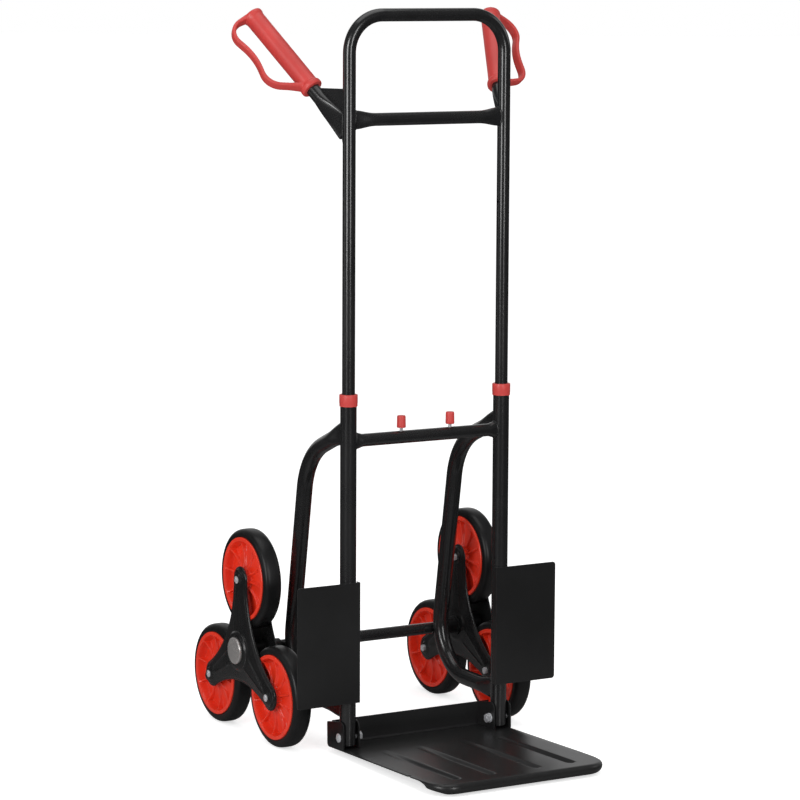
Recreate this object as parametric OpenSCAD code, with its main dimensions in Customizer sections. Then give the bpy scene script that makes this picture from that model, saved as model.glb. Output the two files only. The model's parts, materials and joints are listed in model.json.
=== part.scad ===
// Stair climbing trolley: a telescopic hand truck on two three-wheel star hubs.
// Millimetres, +Z up. -Y is the front, with the folding toe plate, and +Y is the back, with the wheels.
// The origin is on the floor, under the middle of the trolley's overall box.
// The modules work with the uprights in the plane Y = 0, and side() moves each piece into place.

/* [Uprights and crossbars] */
// Distance between the centre lines of the two uprights
track = 276; // [260:2:290]
// Outside diameter of the fixed lower tubes
outer_tube_d = 25.4; // [25:0.1:26]
// Outside diameter of the sliding upper tubes and of the crossbars
inner_tube_d = 20; // [19:0.1:20.2]
// Wall of every tube
tube_wall = 1.2; // [1:0.1:1.4]
// Height of the lower crossbar's centre line, which holds the lock
lock_z = 494.5; // [490:0.5:500]
// Height of the top rim of the collars
collar_top_z = 567.5; // [562:0.5:575]

/* [Telescopic handle] */
// Height of the top bar's centre line with the handle pulled out
handle_top_z = 1145; // [1120:1:1170]
// Height of the upper crossbar's centre line with the handle pulled out
upper_bar_z = 987; // [975:1:1000]
// Centre line radius of the handle's two top bends
handle_bend_r = 57; // [45:1:70]
// How far the handle slides down, from its upper lock holes to its lower ones
handle_travel = 360; // [300:5:360]

/* [Grips] */
// Outside diameter of the stems that carry the grips
stem_d = 22; // [20:0.5:23]
// Outside diameter of the moulded grips
grip_d = 30.4; // [29:0.2:32]
// Length of a grip along its stem
grip_len = 163; // [155:1:168]

/* [Side loops and wheel guards] */
// Height where a side loop's centre line leaves the upright
loop_top_z = 512; // [508:0.5:516]
// Height of a side loop's lower leg
loop_leg_z = 73; // [70:0.5:78]
// Distance from the uprights to the upper corner of a side loop
loop_corner_y = 131.5; // [125:0.5:135]
// Height of the upper corner of a side loop
loop_corner_z = 456.5; // [450:0.5:460]
// Distance from the uprights to the lower corner of a side loop
loop_rear_y = 195.4; // [190:0.2:200]
// Outer edge of a wheel guard, from the middle of the trolley
guard_x = 234.5; // [225:0.5:240]
// Lower edge of the wheel guards
guard_low_z = 85; // [80:1:95]
// Upper edge of the wheel guards
guard_top_z = 275; // [265:1:285]

/* [Star hubs and wheels] */
// Outside diameter of a wheel
wheel_d = 160; // [150:1:162]
// Width of a tyre
tyre_w = 30; // [26:1:31]
// Distance from the star's axle to each wheel's axle
star_r = 114.4; // [112:0.2:118]
// Distance from the middle of the trolley to the wheels' middle plane
wheel_x = 202; // [200:1:206]
// Diameter of the axle that carries both stars
axle_d = 19; // [17:0.5:20]

/* [Toe plate] */
// Height of the toe plate's hinge line
hinge_z = 29; // [28:0.5:31]
// Reach of the toe plate in front of its hinge line
toe_reach = 304; // [280:1:310]
// Distance from the hinge line down to the toe plate's top face
toe_drop = 17.5; // [17.2:0.1:18]
// Slope of the toe plate, rising towards its front edge, in degrees
toe_slope = 1.6; // [1:0.1:2]
// Sheet thickness of the toe plate
toe_sheet = 2; // [1.5:0.1:2]

/* [Hidden] */
$fn = 96;

LEFT = -1;
RIGHT = 1;
TOP = 90;
FRONT = 210;
REAR = 330;
black = [0.06, 0.06, 0.065];
red = [0.78, 0.13, 0.1];
steel = [0.72, 0.73, 0.75];

joint_gap = 0.05;                 // between two pieces that are welded or pressed together
slide_gap = 0.06;                 // radial clearance of a running fit
upright_x = track / 2;
outer_r = outer_tube_d / 2;
outer_bore_r = outer_r - tube_wall;
inner_r = inner_tube_d / 2;
inner_bore_r = inner_r - tube_wall;
bar_r = inner_r;
bar_bore_r = bar_r - tube_wall;

// The upright ends above the toe plate, inside the circle that the plate's top face turns on.
foot_z = hinge_z - sqrt(pow(toe_drop - 0.7, 2) - pow(outer_r, 2));
collar_r = outer_r + 1.6;
collar_h = 18.5;
collar_seat_z = collar_top_z - 7.5;
sleeve_z = collar_top_z - 38;
slide_low_z = 420;

lock_pin_r = 2.5;
lock_hole_r = 3;
lock_travel = 5.5;                // how far a pin moves out to lock the handle
lock_tip_x = upright_x - inner_r - 1;
knob_x = 44;
plunger_r = 6;
plunger_x = 36;
plunger_len = 15;
knob_stem_r = 2.5;
knob_r = 7;
knob_h = 19;
knob_low_z = lock_z + bar_r + 5;
seat_half = 5;

stem_r = stem_d / 2;
grip_r = grip_d / 2;
// The stem's centre line leaves the sliding tube's centre line here, right side.
stem_root = [upright_x, 0, 967];
stem_tip = [216.2, 169.8, 1142.8]; // centre of the grip's upper end, right side
stem_dir = (stem_tip - stem_root) / norm(stem_tip - stem_root);
stem_foot = stem_root + 6 * stem_dir;
grip_foot = stem_tip - grip_len * stem_dir;
strap_w = 15;                     // width of the hand guard strap
strap_t = 6;                      // thickness of the hand guard strap
strap_turn = -2.5;                // turn of the hand guard about the grip, in degrees

loop_r = outer_r;
loop_end_h = 33;
loop_end_t = 13;
loop_end_len = 36;
loop_upper_bend = 102;
loop_lower_bend = 83;
loop_path = [
    [0, loop_top_z], [loop_corner_y, loop_corner_z], [loop_rear_y, loop_leg_z], [0, loop_leg_z]
];
loop_bends = [0, loop_upper_bend, loop_lower_bend, 0];

wheel_r = wheel_d / 2;
rim_r = wheel_r - 13;
rim_half = tyre_w / 2 + 1.6;
hub_half = rim_half + 0.6;
star_gap = hub_half + 0.4;        // from the wheels' middle plane to a star plate
outer_star_t = 8.4;
inner_star_t = 6.4;
star_tip_r = 21;
star_waist = 51;
boss_r = 29.5;
boss_h = 3.5;
sleeve_r = 6;
m6_r = 3;
star_hub_r = 17;
cap_r = 21.4;
cap_x = wheel_x + star_gap + outer_star_t + 1;
cap_h = 5.5;
// A wheel rests on the floor while its star has one arm straight up.
axle_z = wheel_r + star_r / 2;
axle_r = axle_d / 2;
lower_centre = [
    loop_rear_y - trim(loop_path, loop_bends, 2), loop_leg_z + loop_lower_bend
];
// The axle is welded behind the side loops, so it stands one loop radius and one axle radius back.
axle_y = lower_centre.x
    + sqrt(pow(loop_lower_bend + loop_r + axle_r + joint_gap, 2) - pow(lower_centre.y - axle_z, 2));

guard_t = 1.5;
guard_in_x = upright_x - outer_r - 1.3;
guard_y = -outer_r - joint_gap;

m8_r = 4;
ear_in = outer_r + 0.8;           // from an upright's centre line to the inside of an ear
toe_half = upright_x + ear_in + toe_sheet;
flange_y = 38;
flange_top = 20;
toe_corner_r = 38;
// The lip reaches the floor once the toe plate is tilted to its slope.
lip_low = (hinge_z + toe_reach * sin(toe_slope)) / cos(toe_slope);
lip_side = 30;
groove_x = [40, 102];
groove_front = toe_reach - 40;
groove_rear = 58;
groove_w = 16;
groove_depth = 3;

front_y = -(toe_reach * cos(toe_slope) + lip_low * sin(toe_slope));
rear_y = axle_y + star_r * cos(30) + wheel_r;
y_shift = -(front_y + rear_y) / 2;

// ---------------------------------------------------------------- shared shapes

function unit(v) = v / norm(v);
function heading(p, i) = unit(p[i + 1] - p[i]);
// Signed turn of a path at its corner i, in degrees.
function turn(p, i) =
    let (a = heading(p, i - 1), b = heading(p, i)) atan2(cross(a, b), a * b);
// How much of each leg a bend uses up at corner i.
function trim(p, bends, i) =
    i == 0 || i == len(p) - 1 ? 0 : bends[i] * tan(abs(turn(p, i)) / 2);
// A closed outline with its corners rounded, each by its own radius.
function rounded(p, radii, steps = 8) = [
    for (i = [0 : len(p) - 1])
        let (
            before = unit(p[(i + len(p) - 1) % len(p)] - p[i]),
            after = unit(p[(i + 1) % len(p)] - p[i]),
            half = acos(before * after) / 2,
            centre = p[i] + unit(before + after) * radii[i] / sin(half),
            from = atan2((p[i] + before * radii[i] / tan(half) - centre).y,
                (p[i] + before * radii[i] / tan(half) - centre).x),
            sweep = (180 - 2 * half) * sign(cross(after, before))
        )
        if (radii[i] == 0) p[i]
        else for (k = [0 : steps]) centre + radii[i] * [
            cos(from + sweep * k / steps), sin(from + sweep * k / steps)
        ]
];

// Moves a piece, modelled for the right side, to its own side of the trolley.
module side(s) {
    translate([0, y_shift, 0]) mirror([s == LEFT ? 1 : 0, 0, 0]) children();
}

// A rod along X between two distances from the middle of the trolley.
module rod_x(x0, x1, r) {
    translate([x0, 0, 0]) rotate([0, 90, 0]) cylinder(r = r, h = x1 - x0);
}

// A ring along X.
module ring_x(x0, x1, r, bore) {
    difference() {
        rod_x(x0, x1, r);
        rod_x(x0 - 1, x1 + 1, bore);
    }
}

// A hexagon nut or head along X.
module hex_x(x0, x1, across) {
    translate([x0, 0, 0]) rotate([0, 90, 0])
        cylinder(d = across / cos(30), h = x1 - x0, $fn = 6);
}

// A round bar that follows a path in the XY plane, with a bend at each inner corner.
// Each straight length runs a little way over its bends, which are slightly thinner.
module bent_bar(p, bends, r) {
    overlap = 2;
    shrink = 0.2;
    for (i = [0 : len(p) - 2]) {
        u = heading(p, i);
        a = p[i] + u * (trim(p, bends, i) - (i == 0 ? 0 : overlap));
        b = p[i + 1] - u * (trim(p, bends, i + 1) - (i == len(p) - 2 ? 0 : overlap));
        translate(a) rotate(atan2(u.y, u.x)) rotate([0, 90, 0]) cylinder(r = r, h = norm(b - a));
    }
    for (i = [1 : len(p) - 2]) {
        t = turn(p, i);
        u = heading(p, i - 1);
        centre = p[i] - u * trim(p, bends, i) + sign(t) * bends[i] * [-u.y, u.x];
        translate(centre) rotate(atan2(-sign(t) * u.x, sign(t) * u.y))
            rotate_extrude(angle = t) translate([bends[i], 0]) circle(r - shrink);
    }
}

// A button head or cap along X: flat inside, domed outside, from x0 outwards.
module dome_x(x0, r, h, edge_h) {
    dome_r = (r * r + pow(h - edge_h, 2)) / (2 * (h - edge_h));
    steps = 10;
    reach = asin(r / dome_r);
    profile = concat([[0, 0], [r, 0]], [
        for (k = [0 : steps]) [dome_r * sin(reach * (1 - k / steps)),
            h - dome_r + dome_r * cos(reach * (1 - k / steps))]
    ]);
    translate([x0, 0, 0]) rotate([0, 90, 0]) rotate_extrude() polygon(profile);
}

// Stands the XY plane up so that X runs along Y and Y runs along Z, at a distance x0 from the middle.
module in_yz(x0) {
    translate([x0, 0, 0]) rotate([90, 0, 90]) children();
}

// ---------------------------------------------------------------- frame

module upright(s) {
    side(s) color(black) difference() {
        translate([upright_x, 0, foot_z]) cylinder(r = outer_r, h = collar_seat_z - foot_z);
        translate([upright_x, 0, foot_z - 1]) cylinder(r = outer_bore_r, h = collar_seat_z);
        translate([0, 0, hinge_z]) rod_x(upright_x - 20, upright_x + 20, m8_r + joint_gap);
        translate([0, 0, lock_z]) rod_x(upright_x - 20, upright_x, lock_pin_r + slide_gap);
    }
}

module lower_crossbar() {
    slot_in = knob_x - knob_stem_r - 0.7;
    slot_out = knob_x + lock_travel + knob_stem_r + 0.7;
    side(RIGHT) color(black) difference() {
        translate([0, 0, lock_z]) ring_x(-upright_x, upright_x, bar_r, bar_bore_r);
        for (s = [LEFT, RIGHT]) {
            translate([s * upright_x, 0, 0]) cylinder(r = outer_r + joint_gap, h = 2 * lock_z);
            translate([s * (slot_in + slot_out) / 2, 0, lock_z + bar_r])
                cube([slot_out - slot_in, 2 * knob_stem_r + 1, bar_r], center = true);
        }
    }
}

// The flattened end of a side loop, which is welded to the upright.
module loop_end(start, towards) {
    u = unit(towards - start);
    in_yz(upright_x) translate(start) rotate(atan2(u.y, u.x)) rotate([90, 0, 90]) linear_extrude(loop_end_len)
        union() {
            square([loop_end_h - loop_end_t, loop_end_t], center = true);
            for (k = [-1, 1]) translate([k * (loop_end_h - loop_end_t) / 2, 0]) circle(d = loop_end_t);
        }
}

module side_loop(s) {
    top_leg = unit(loop_path[1] - loop_path[0]);
    ends = [loop_path[0] + 24 * top_leg, loop_path[3] + [24, 0]];
    tube_path = [ends[0], loop_path[1], loop_path[2], ends[1]];
    side(s) color(black) difference() {
        union() {
            in_yz(upright_x) difference() {
                bent_bar(tube_path, loop_bends, loop_r);
                bent_bar(tube_path, loop_bends, loop_r - tube_wall);
            }
            loop_end(loop_path[0], loop_path[1]);
            loop_end(loop_path[3], loop_path[2]);
        }
        translate([upright_x, 0, 0]) cylinder(r = outer_r + joint_gap, h = collar_top_z);
    }
}

module wheel_guard(s) {
    corner = 5;
    outline = rounded([
        [guard_in_x, guard_low_z], [guard_x, guard_low_z],
        [guard_x, guard_top_z], [guard_in_x, guard_top_z]
    ], [0, corner, corner, 0]);
    side(s) color(black) {
        translate([0, guard_y, 0]) rotate([90, 0, 0]) linear_extrude(guard_t) polygon(outline);
        translate([guard_in_x, guard_y - guard_t / 2, guard_low_z])
            cube([1.2, 9, guard_top_z - guard_low_z]);
    }
}

// The collar caps the upright and guides the sliding tube with a thin sleeve below its rim.
module collar(s) {
    side(s) color(red) translate([upright_x, 0, 0]) difference() {
        union() {
            translate([0, 0, collar_top_z - collar_h]) cylinder(r = collar_r, h = collar_h - 1);
            translate([0, 0, collar_top_z - 1]) cylinder(r = collar_r - 0.8, h = 1);
        }
        translate([0, 0, collar_top_z - collar_h - 1])
            cylinder(r = outer_r + joint_gap, h = collar_seat_z + joint_gap - collar_top_z + collar_h + 1);
        translate([0, 0, sleeve_z]) cylinder(r = inner_r + slide_gap, h = 60);
    }
    side(s) color(red) translate([upright_x, 0, sleeve_z]) difference() {
        cylinder(r = outer_bore_r - joint_gap, h = collar_seat_z + 1 - sleeve_z);
        translate([0, 0, -1]) cylinder(r = inner_r + slide_gap, h = 60);
    }
}

module foot_plugs() {
    for (s = [LEFT, RIGHT]) side(s) color(black) translate([upright_x, 0, foot_z]) {
        translate([0, 0, -1]) cylinder(r = outer_bore_r + 0.4, h = 1 - joint_gap);
        translate([0, 0, -0.5]) cylinder(r = outer_bore_r - joint_gap, h = 4.5);
    }
}

module axle() {
    end_x = cap_x + 1;
    side(RIGHT) color(black) translate([0, axle_y, axle_z]) rod_x(-end_x, end_x, axle_r);
}

module axle_spacers() {
    for (s = [LEFT, RIGHT]) side(s) color(black) translate([0, axle_y, axle_z]) {
        end_x = wheel_x - star_gap - inner_star_t - 0.3;
        ring_x(upright_x + loop_r + 1.5, end_x - 2.2, 12.5, axle_r + joint_gap);
        ring_x(end_x - 2, end_x, 16, axle_r + joint_gap);
    }
}

module hub_caps() {
    for (s = [LEFT, RIGHT]) side(s) color(steel) translate([0, axle_y, axle_z]) difference() {
        dome_x(cap_x, cap_r, cap_h, 1.5);
        rod_x(cap_x - 1, cap_x + 1 + joint_gap, axle_r + joint_gap);
    }
}

module hinge_bolts() {
    for (s = [LEFT, RIGHT]) side(s) color(steel) translate([0, 0, hinge_z]) {
        rod_x(upright_x - ear_in - 10.5, upright_x + ear_in + toe_sheet + 1, m8_r);
        dome_x(upright_x + ear_in + toe_sheet + 0.2, 7.2, 3.2, 1);
    }
}

module hinge_nuts() {
    washer_x = upright_x - ear_in - toe_sheet - 0.2;
    for (s = [LEFT, RIGHT]) side(s) color(steel) translate([0, 0, hinge_z]) {
        ring_x(washer_x - 1.5, washer_x, 8, m8_r + joint_gap);
        difference() {
            hex_x(washer_x - 7.2, washer_x - 1.55, 13);
            rod_x(washer_x - 9, washer_x, m8_r + joint_gap);
        }
    }
}

// ---------------------------------------------------------------- handle lock

module lock_guides() {
    for (s = [LEFT, RIGHT]) side(s) color(black) translate([0, 0, lock_z])
        ring_x(92, 108, bar_bore_r - joint_gap, lock_pin_r + slide_gap);
}

module spring_seat() {
    side(RIGHT) color(black) translate([0, 0, lock_z])
        rod_x(-seat_half, seat_half, bar_bore_r - joint_gap);
}

// A coil of round wire along X, as a strip of facets around its helix.
module coil_x(x0, length, coil_r, wire_r, turns) {
    per_turn = 20;
    sides = 8;
    rings = per_turn * turns;
    points = [
        for (i = [0 : rings], k = [0 : sides - 1])
            let (a = 360 * i / per_turn, b = 360 * k / sides, r = coil_r + wire_r * cos(b))
            [x0 + wire_r + (length - 2 * wire_r) * i / rings + wire_r * sin(b), r * cos(a), r * sin(a)]
    ];
    faces = concat(
        [[for (k = [0 : sides - 1]) sides - 1 - k], [for (k = [0 : sides - 1]) rings * sides + k]],
        [for (i = [0 : rings - 1], k = [0 : sides - 1])
            [sides * i + k, sides * i + (k + 1) % sides,
                sides * (i + 1) + (k + 1) % sides, sides * (i + 1) + k]]
    );
    polyhedron(points, faces);
}

module lock_spring(s) {
    gap = 0.3;
    side(s) color(steel) translate([0, 0, lock_z])
        coil_x(seat_half + gap, plunger_x - seat_half - 2 * gap, 4.5, 0.6, 7);
}

module lock_pin(s) {
    side(s) color(steel) translate([0, 0, lock_z]) difference() {
        union() {
            rod_x(plunger_x, plunger_x + plunger_len, plunger_r);
            rod_x(plunger_x, lock_tip_x - 1, lock_pin_r);
            rod_x(plunger_x, lock_tip_x, lock_pin_r - 0.6);
        }
        translate([knob_x, 0, 0]) cylinder(r = knob_stem_r + joint_gap, h = 2 * plunger_r);
    }
}

module lock_stem(s) {
    side(s) color(steel) translate([knob_x, 0, lock_z + 0.2])
        cylinder(r = knob_stem_r, h = knob_low_z - lock_z + 12);
}

module lock_knob(s) {
    side(s) color(red) translate([knob_x, 0, knob_low_z]) difference() {
        union() {
            cylinder(r = knob_r - 0.6, h = knob_h);
            translate([0, 0, 0.8]) cylinder(r = knob_r, h = knob_h - 1.6);
        }
        translate([0, 0, -1]) cylinder(r = knob_stem_r + joint_gap, h = 13.5);
    }
}

// ---------------------------------------------------------------- telescopic handle

module handle_tube() {
    path = [
        [-upright_x, slide_low_z], [-upright_x, handle_top_z],
        [upright_x, handle_top_z], [upright_x, slide_low_z]
    ];
    bends = [0, handle_bend_r, handle_bend_r, 0];
    side(RIGHT) color(black) difference() {
        rotate([90, 0, 0]) difference() {
            bent_bar(path, bends, inner_r);
            bent_bar(path, bends, inner_bore_r);
        }
        for (s = [LEFT, RIGHT], z = [lock_z, lock_z + handle_travel])
            translate([s * (upright_x - inner_r), 0, z]) rotate([0, 90, 0])
                cylinder(r = lock_hole_r, h = 2 * inner_bore_r, center = true);
    }
}

module upper_crossbar() {
    side(RIGHT) color(black) difference() {
        translate([0, 0, upper_bar_z]) ring_x(-upright_x, upright_x, bar_r, bar_bore_r);
        for (s = [LEFT, RIGHT])
            translate([s * upright_x, 0, 0]) cylinder(r = inner_r + joint_gap, h = handle_top_z);
    }
}

module slide_bushes() {
    for (s = [LEFT, RIGHT]) side(s) color(black) translate([upright_x, 0, slide_low_z]) {
        difference() {
            translate([0, 0, -3]) cylinder(r = outer_bore_r - slide_gap, h = 23);
            translate([0, 0, -joint_gap]) cylinder(r = inner_r + joint_gap, h = 24);
            translate([0, 0, -4]) cylinder(r = inner_bore_r - 1, h = 8);
        }
    }
}

// Puts the local Z axis on the grip stem, starting at a point, with X towards the hand guard strap.
module on_stem(start) {
    w = stem_dir;
    e = unit([w.z, 0, -w.x]);
    f = cross(w, e);
    multmatrix([
        [e.x, f.x, w.x, start.x], [e.y, f.y, w.y, start.y], [e.z, f.z, w.z, start.z], [0, 0, 0, 1]
    ]) rotate(strap_turn) children();
}

module stem_bar(r) {
    on_stem(stem_foot) cylinder(r = r, h = norm(grip_foot - stem_foot) + grip_len - 30);
}

module grip_stem(s) {
    side(s) color(black) difference() {
        stem_bar(stem_r);
        on_stem(stem_foot + 40 * stem_dir) cylinder(r = stem_r - tube_wall, h = 2 * grip_len);
        translate([upright_x, 0, 0]) cylinder(r = inner_r + joint_gap, h = handle_top_z);
        translate([0, 0, upper_bar_z]) rod_x(0, upright_x, bar_r + joint_gap);
    }
}

// A flat triangle between the sliding tube and the stem, with a level top edge.
module stem_gusset(s) {
    top_z = 1034;
    low_z = 975;
    at_top = stem_foot + stem_dir * (top_z - stem_foot.z) / stem_dir.z;
    reach = norm([at_top.x - upright_x, at_top.y]);
    angle = atan2(at_top.y, at_top.x - upright_x);
    side(s) color(black) difference() {
        translate([upright_x, 0, 0]) rotate(angle) rotate([90, 0, 0])
            linear_extrude(2.5, center = true) polygon([[0, low_z], [reach, top_z], [0, top_z]]);
        translate([upright_x, 0, 0]) cylinder(r = inner_r + joint_gap, h = handle_top_z);
        stem_bar(stem_r + joint_gap);
    }
}

// The strap's middle line in the grip's own plane: distance out, then distance along the grip. It leaves the
// grip's foot, turns at the knuckles, is drawn in at its waist, and turns back to the grip's head.
strap_corners = [[8, 9.5], [57, 41], [42.5, 93.5], [54.5, 157.5], [8, 160]];
strap_bends = [0, 29, 100, 26.5, 0];
strap_path = rounded(strap_corners, strap_bends, 10);

function strap_normal(i) =
    let (a = strap_path[max(i - 1, 0)], b = strap_path[min(i + 1, len(strap_path) - 1)], u = unit(b - a))
    [u.y, -u.x];

module grip(s) {
    last = len(strap_path) - 1;
    outline = concat(
        [for (i = [0 : last]) strap_path[i] + strap_normal(i) * strap_t / 2],
        [for (i = [last : -1 : 0]) strap_path[i] - strap_normal(i) * strap_t / 2]
    );
    side(s) color(red) on_stem(grip_foot) difference() {
        union() {
            cylinder(r = grip_r, h = grip_len);
            cylinder(r = grip_r + 2.2, h = 9);
            translate([0, 0, grip_len - 8]) cylinder(r = grip_r + 1.5, h = 6);
            rotate([90, 0, 0]) linear_extrude(strap_w, center = true) polygon(outline);
        }
        translate([0, 0, -1]) cylinder(r = stem_r + joint_gap, h = grip_len - 28);
    }
}

// ---------------------------------------------------------------- toe plate

// Works in the toe plate's own frame: the origin on the hinge line, Z square to the plate.
module toe_frame() {
    side(RIGHT) translate([0, 0, hinge_z]) rotate([-toe_slope, 0, 0]) children();
}

function toe_outline(inset) = rounded([
    [toe_half - inset, flange_y], [-toe_half + inset, flange_y],
    [-toe_half + inset, -toe_reach + inset], [toe_half - inset, -toe_reach + inset]
], [0, 0, toe_corner_r - inset, toe_corner_r - inset], 12);

module groove(r) {
    axis_z = -toe_drop - groove_depth + (groove_w * groove_w / 8 / groove_depth + groove_depth / 2);
    for (s = [LEFT, RIGHT], x = groove_x) translate([s * x, 0, axis_z]) {
        translate([0, -groove_rear, 0]) rotate([90, 0, 0]) cylinder(r = r, h = groove_front - groove_rear);
        for (y = [groove_rear, groove_front]) translate([0, -y, 0]) sphere(r);
    }
}

// Ear outline in the YZ plane, rounded at its front top and rear corners.
function ear_outline(front) = rounded([
    [flange_y, -toe_drop - toe_sheet], [flange_y, flange_top], [-front, flange_top + 8],
    [-front, -toe_drop - toe_sheet]
], [5, 3, 11, 0]);

module toe_plate() {
    color(black) difference() {
        toe_sheets();
        translate([-toe_half, -2 * toe_reach, -20]) cube([2 * toe_half, 3 * toe_reach, 20]);
    }
}

module toe_sheets() {
    groove_r = groove_w * groove_w / 8 / groove_depth + groove_depth / 2;
    toe_frame() difference() {
        union() {
            translate([0, 0, -toe_drop - toe_sheet]) linear_extrude(toe_sheet) polygon(toe_outline(0));
            intersection() {
                translate([0, 0, -lip_low]) linear_extrude(lip_low - toe_drop) difference() {
                    polygon(toe_outline(0));
                    polygon(toe_outline(toe_sheet));
                }
                translate([-toe_half, -toe_reach, -lip_low])
                    cube([2 * toe_half, lip_side, lip_low - toe_drop]);
            }
            translate([-toe_half, flange_y - toe_sheet, -toe_drop - toe_sheet])
                cube([2 * toe_half, toe_sheet, toe_drop + toe_sheet + flange_top]);
            for (x = [-upright_x - ear_in - toe_sheet, upright_x + ear_in])
                in_yz(x) linear_extrude(toe_sheet) polygon(ear_outline(14));
            for (x = [-upright_x + ear_in, upright_x - ear_in - toe_sheet])
                in_yz(x) linear_extrude(toe_sheet) polygon(ear_outline(12));
            intersection() {
                groove(groove_r + toe_sheet);
                translate([-toe_half, -toe_reach, -toe_drop - 10]) cube([2 * toe_half, toe_reach, 10]);
            }
        }
        groove(groove_r);
        rod_x(-2 * upright_x, 2 * upright_x, m8_r + slide_gap);
    }
}

// ---------------------------------------------------------------- stars and wheels

// Places a shape on the star's axle, in the wheels' middle plane.
module on_star(s) {
    side(s) translate([wheel_x, axle_y, axle_z]) children();
}

// Repeats a shape at the three wheel axles. Angles run from the back of the trolley upwards.
module at_wheel(angle) {
    translate([0, star_r * cos(angle), star_r * sin(angle)]) children();
}

// The star plate's outline: three round tips joined by arcs that touch neighbouring tips.
module star_outline() {
    drop = star_waist - star_tip_r;
    arc_at = (star_r * star_r - drop * drop) / (star_r - 2 * drop);
    difference() {
        union() {
            polygon([for (a = [TOP, FRONT, REAR]) star_r * [cos(a), sin(a)]]);
            for (a = [TOP, FRONT, REAR]) rotate(a) {
                translate([star_r, 0]) circle(star_tip_r);
                translate([0, -star_tip_r]) square([star_r, 2 * star_tip_r]);
            }
        }
        for (a = [TOP, FRONT, REAR]) rotate(a + 60) translate([arc_at, 0]) circle(arc_at - star_waist, $fn = 240);
    }
}

module star_plate(x0, thick) {
    difference() {
        translate([x0, 0, 0]) rotate([90, 0, 90]) linear_extrude(thick) star_outline();
        rod_x(x0 - 1, x0 + thick + 1, axle_r + 0.1);
        for (a = [TOP, FRONT, REAR]) at_wheel(a) rod_x(x0 - 1, x0 + thick + 1, m6_r + 0.1);
    }
}

module star_outer(s) {
    color(black) on_star(s) {
        star_plate(star_gap, outer_star_t);
        ring_x(star_gap + outer_star_t, star_gap + outer_star_t + boss_h, boss_r, cap_r + 1.2);
    }
}

module star_inner(s) {
    color(black) on_star(s) star_plate(-star_gap - inner_star_t, inner_star_t);
}

module star_hub(s) {
    half = star_gap - joint_gap;
    color(black) on_star(s) ring_x(-half, half, star_hub_r, axle_r + slide_gap);
}

module wheel_bolts(s) {
    head_x = star_gap + outer_star_t + joint_gap;
    color(steel) on_star(s) for (a = [TOP, FRONT, REAR]) at_wheel(a) {
        rod_x(-star_gap - inner_star_t - 5, head_x + 0.5, m6_r);
        difference() {
            dome_x(head_x, 5.8, 3, 1);
            hex_x(head_x + 1.2, head_x + 4, 4);
        }
    }
}

module wheel_nuts(s) {
    nut_x = -star_gap - inner_star_t - joint_gap;
    color(steel) on_star(s) for (a = [TOP, FRONT, REAR]) at_wheel(a) difference() {
        hex_x(nut_x - 4.5, nut_x, 10);
        rod_x(nut_x - 6, nut_x + 1, m6_r + joint_gap);
    }
}

module wheel_sleeves(s) {
    half = star_gap - joint_gap;
    color(steel) on_star(s) for (a = [TOP, FRONT, REAR]) at_wheel(a)
        ring_x(-half, half, sleeve_r, m6_r + joint_gap);
}

// Rim: a barrel for the tyre, a web with ribs on both faces, and a hub that turns on the sleeve.
module rim(s, angle) {
    barrel_in = rim_r - 6;
    hub_r = 15;
    web_half = 2.5;
    ribs = 10;
    color(red) on_star(s) at_wheel(angle) difference() {
        union() {
            ring_x(-rim_half, rim_half, rim_r, barrel_in);
            rod_x(-web_half, web_half, barrel_in + 1);
            rod_x(-hub_half, hub_half, hub_r);
            for (k = [0 : ribs - 1]) rotate([k * 360 / ribs, 0, 0])
                translate([-rim_half + 5, -1.2, hub_r - 2]) cube([2 * rim_half - 10, 2.4, barrel_in - hub_r + 3]);
        }
        rod_x(-2 * rim_half, 2 * rim_half, sleeve_r + slide_gap);
    }
}

module tyre(s, angle) {
    half = tyre_w / 2;
    bore = rim_r + joint_gap;
    profile = rounded([[bore, -half], [wheel_r, -half], [wheel_r, half], [bore, half]], [0, 7, 7, 0]);
    color(black) on_star(s) at_wheel(angle) rotate([0, 90, 0]) rotate_extrude() polygon(profile);
}

// ---------------------------------------------------------------- nodes

upright(LEFT);  // upright_left
upright(RIGHT);  // upright_right
lower_crossbar();
side_loop(LEFT);  // side_loop_left
side_loop(RIGHT);  // side_loop_right
wheel_guard(LEFT);  // wheel_guard_left
wheel_guard(RIGHT);  // wheel_guard_right
collar(LEFT);  // collar_left
collar(RIGHT);  // collar_right
foot_plugs();
axle();
axle_spacers();
hub_caps();
hinge_bolts();
hinge_nuts();
lock_guides();
spring_seat();
lock_spring(LEFT);  // lock_spring_left
lock_spring(RIGHT);  // lock_spring_right
handle_tube();
upper_crossbar();
slide_bushes();
grip_stem(LEFT);  // grip_stem_left
grip_stem(RIGHT);  // grip_stem_right
stem_gusset(LEFT);  // stem_gusset_left
stem_gusset(RIGHT);  // stem_gusset_right
grip(LEFT);  // grip_left
grip(RIGHT);  // grip_right
lock_pin(LEFT);  // lock_pin_left
lock_pin(RIGHT);  // lock_pin_right
lock_stem(LEFT);  // lock_stem_left
lock_stem(RIGHT);  // lock_stem_right
lock_knob(LEFT);  // lock_knob_left
lock_knob(RIGHT);  // lock_knob_right
toe_plate();
star_outer(LEFT);  // star_outer_left
star_inner(LEFT);  // star_inner_left
star_hub(LEFT);  // star_hub_left
star_outer(RIGHT);  // star_outer_right
star_inner(RIGHT);  // star_inner_right
star_hub(RIGHT);  // star_hub_right
wheel_bolts(LEFT);  // wheel_bolts_left
wheel_nuts(LEFT);  // wheel_nuts_left
wheel_sleeves(LEFT);  // wheel_sleeves_left
wheel_bolts(RIGHT);  // wheel_bolts_right
wheel_nuts(RIGHT);  // wheel_nuts_right
wheel_sleeves(RIGHT);  // wheel_sleeves_right
rim(LEFT, TOP);  // rim_left_top
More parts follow.
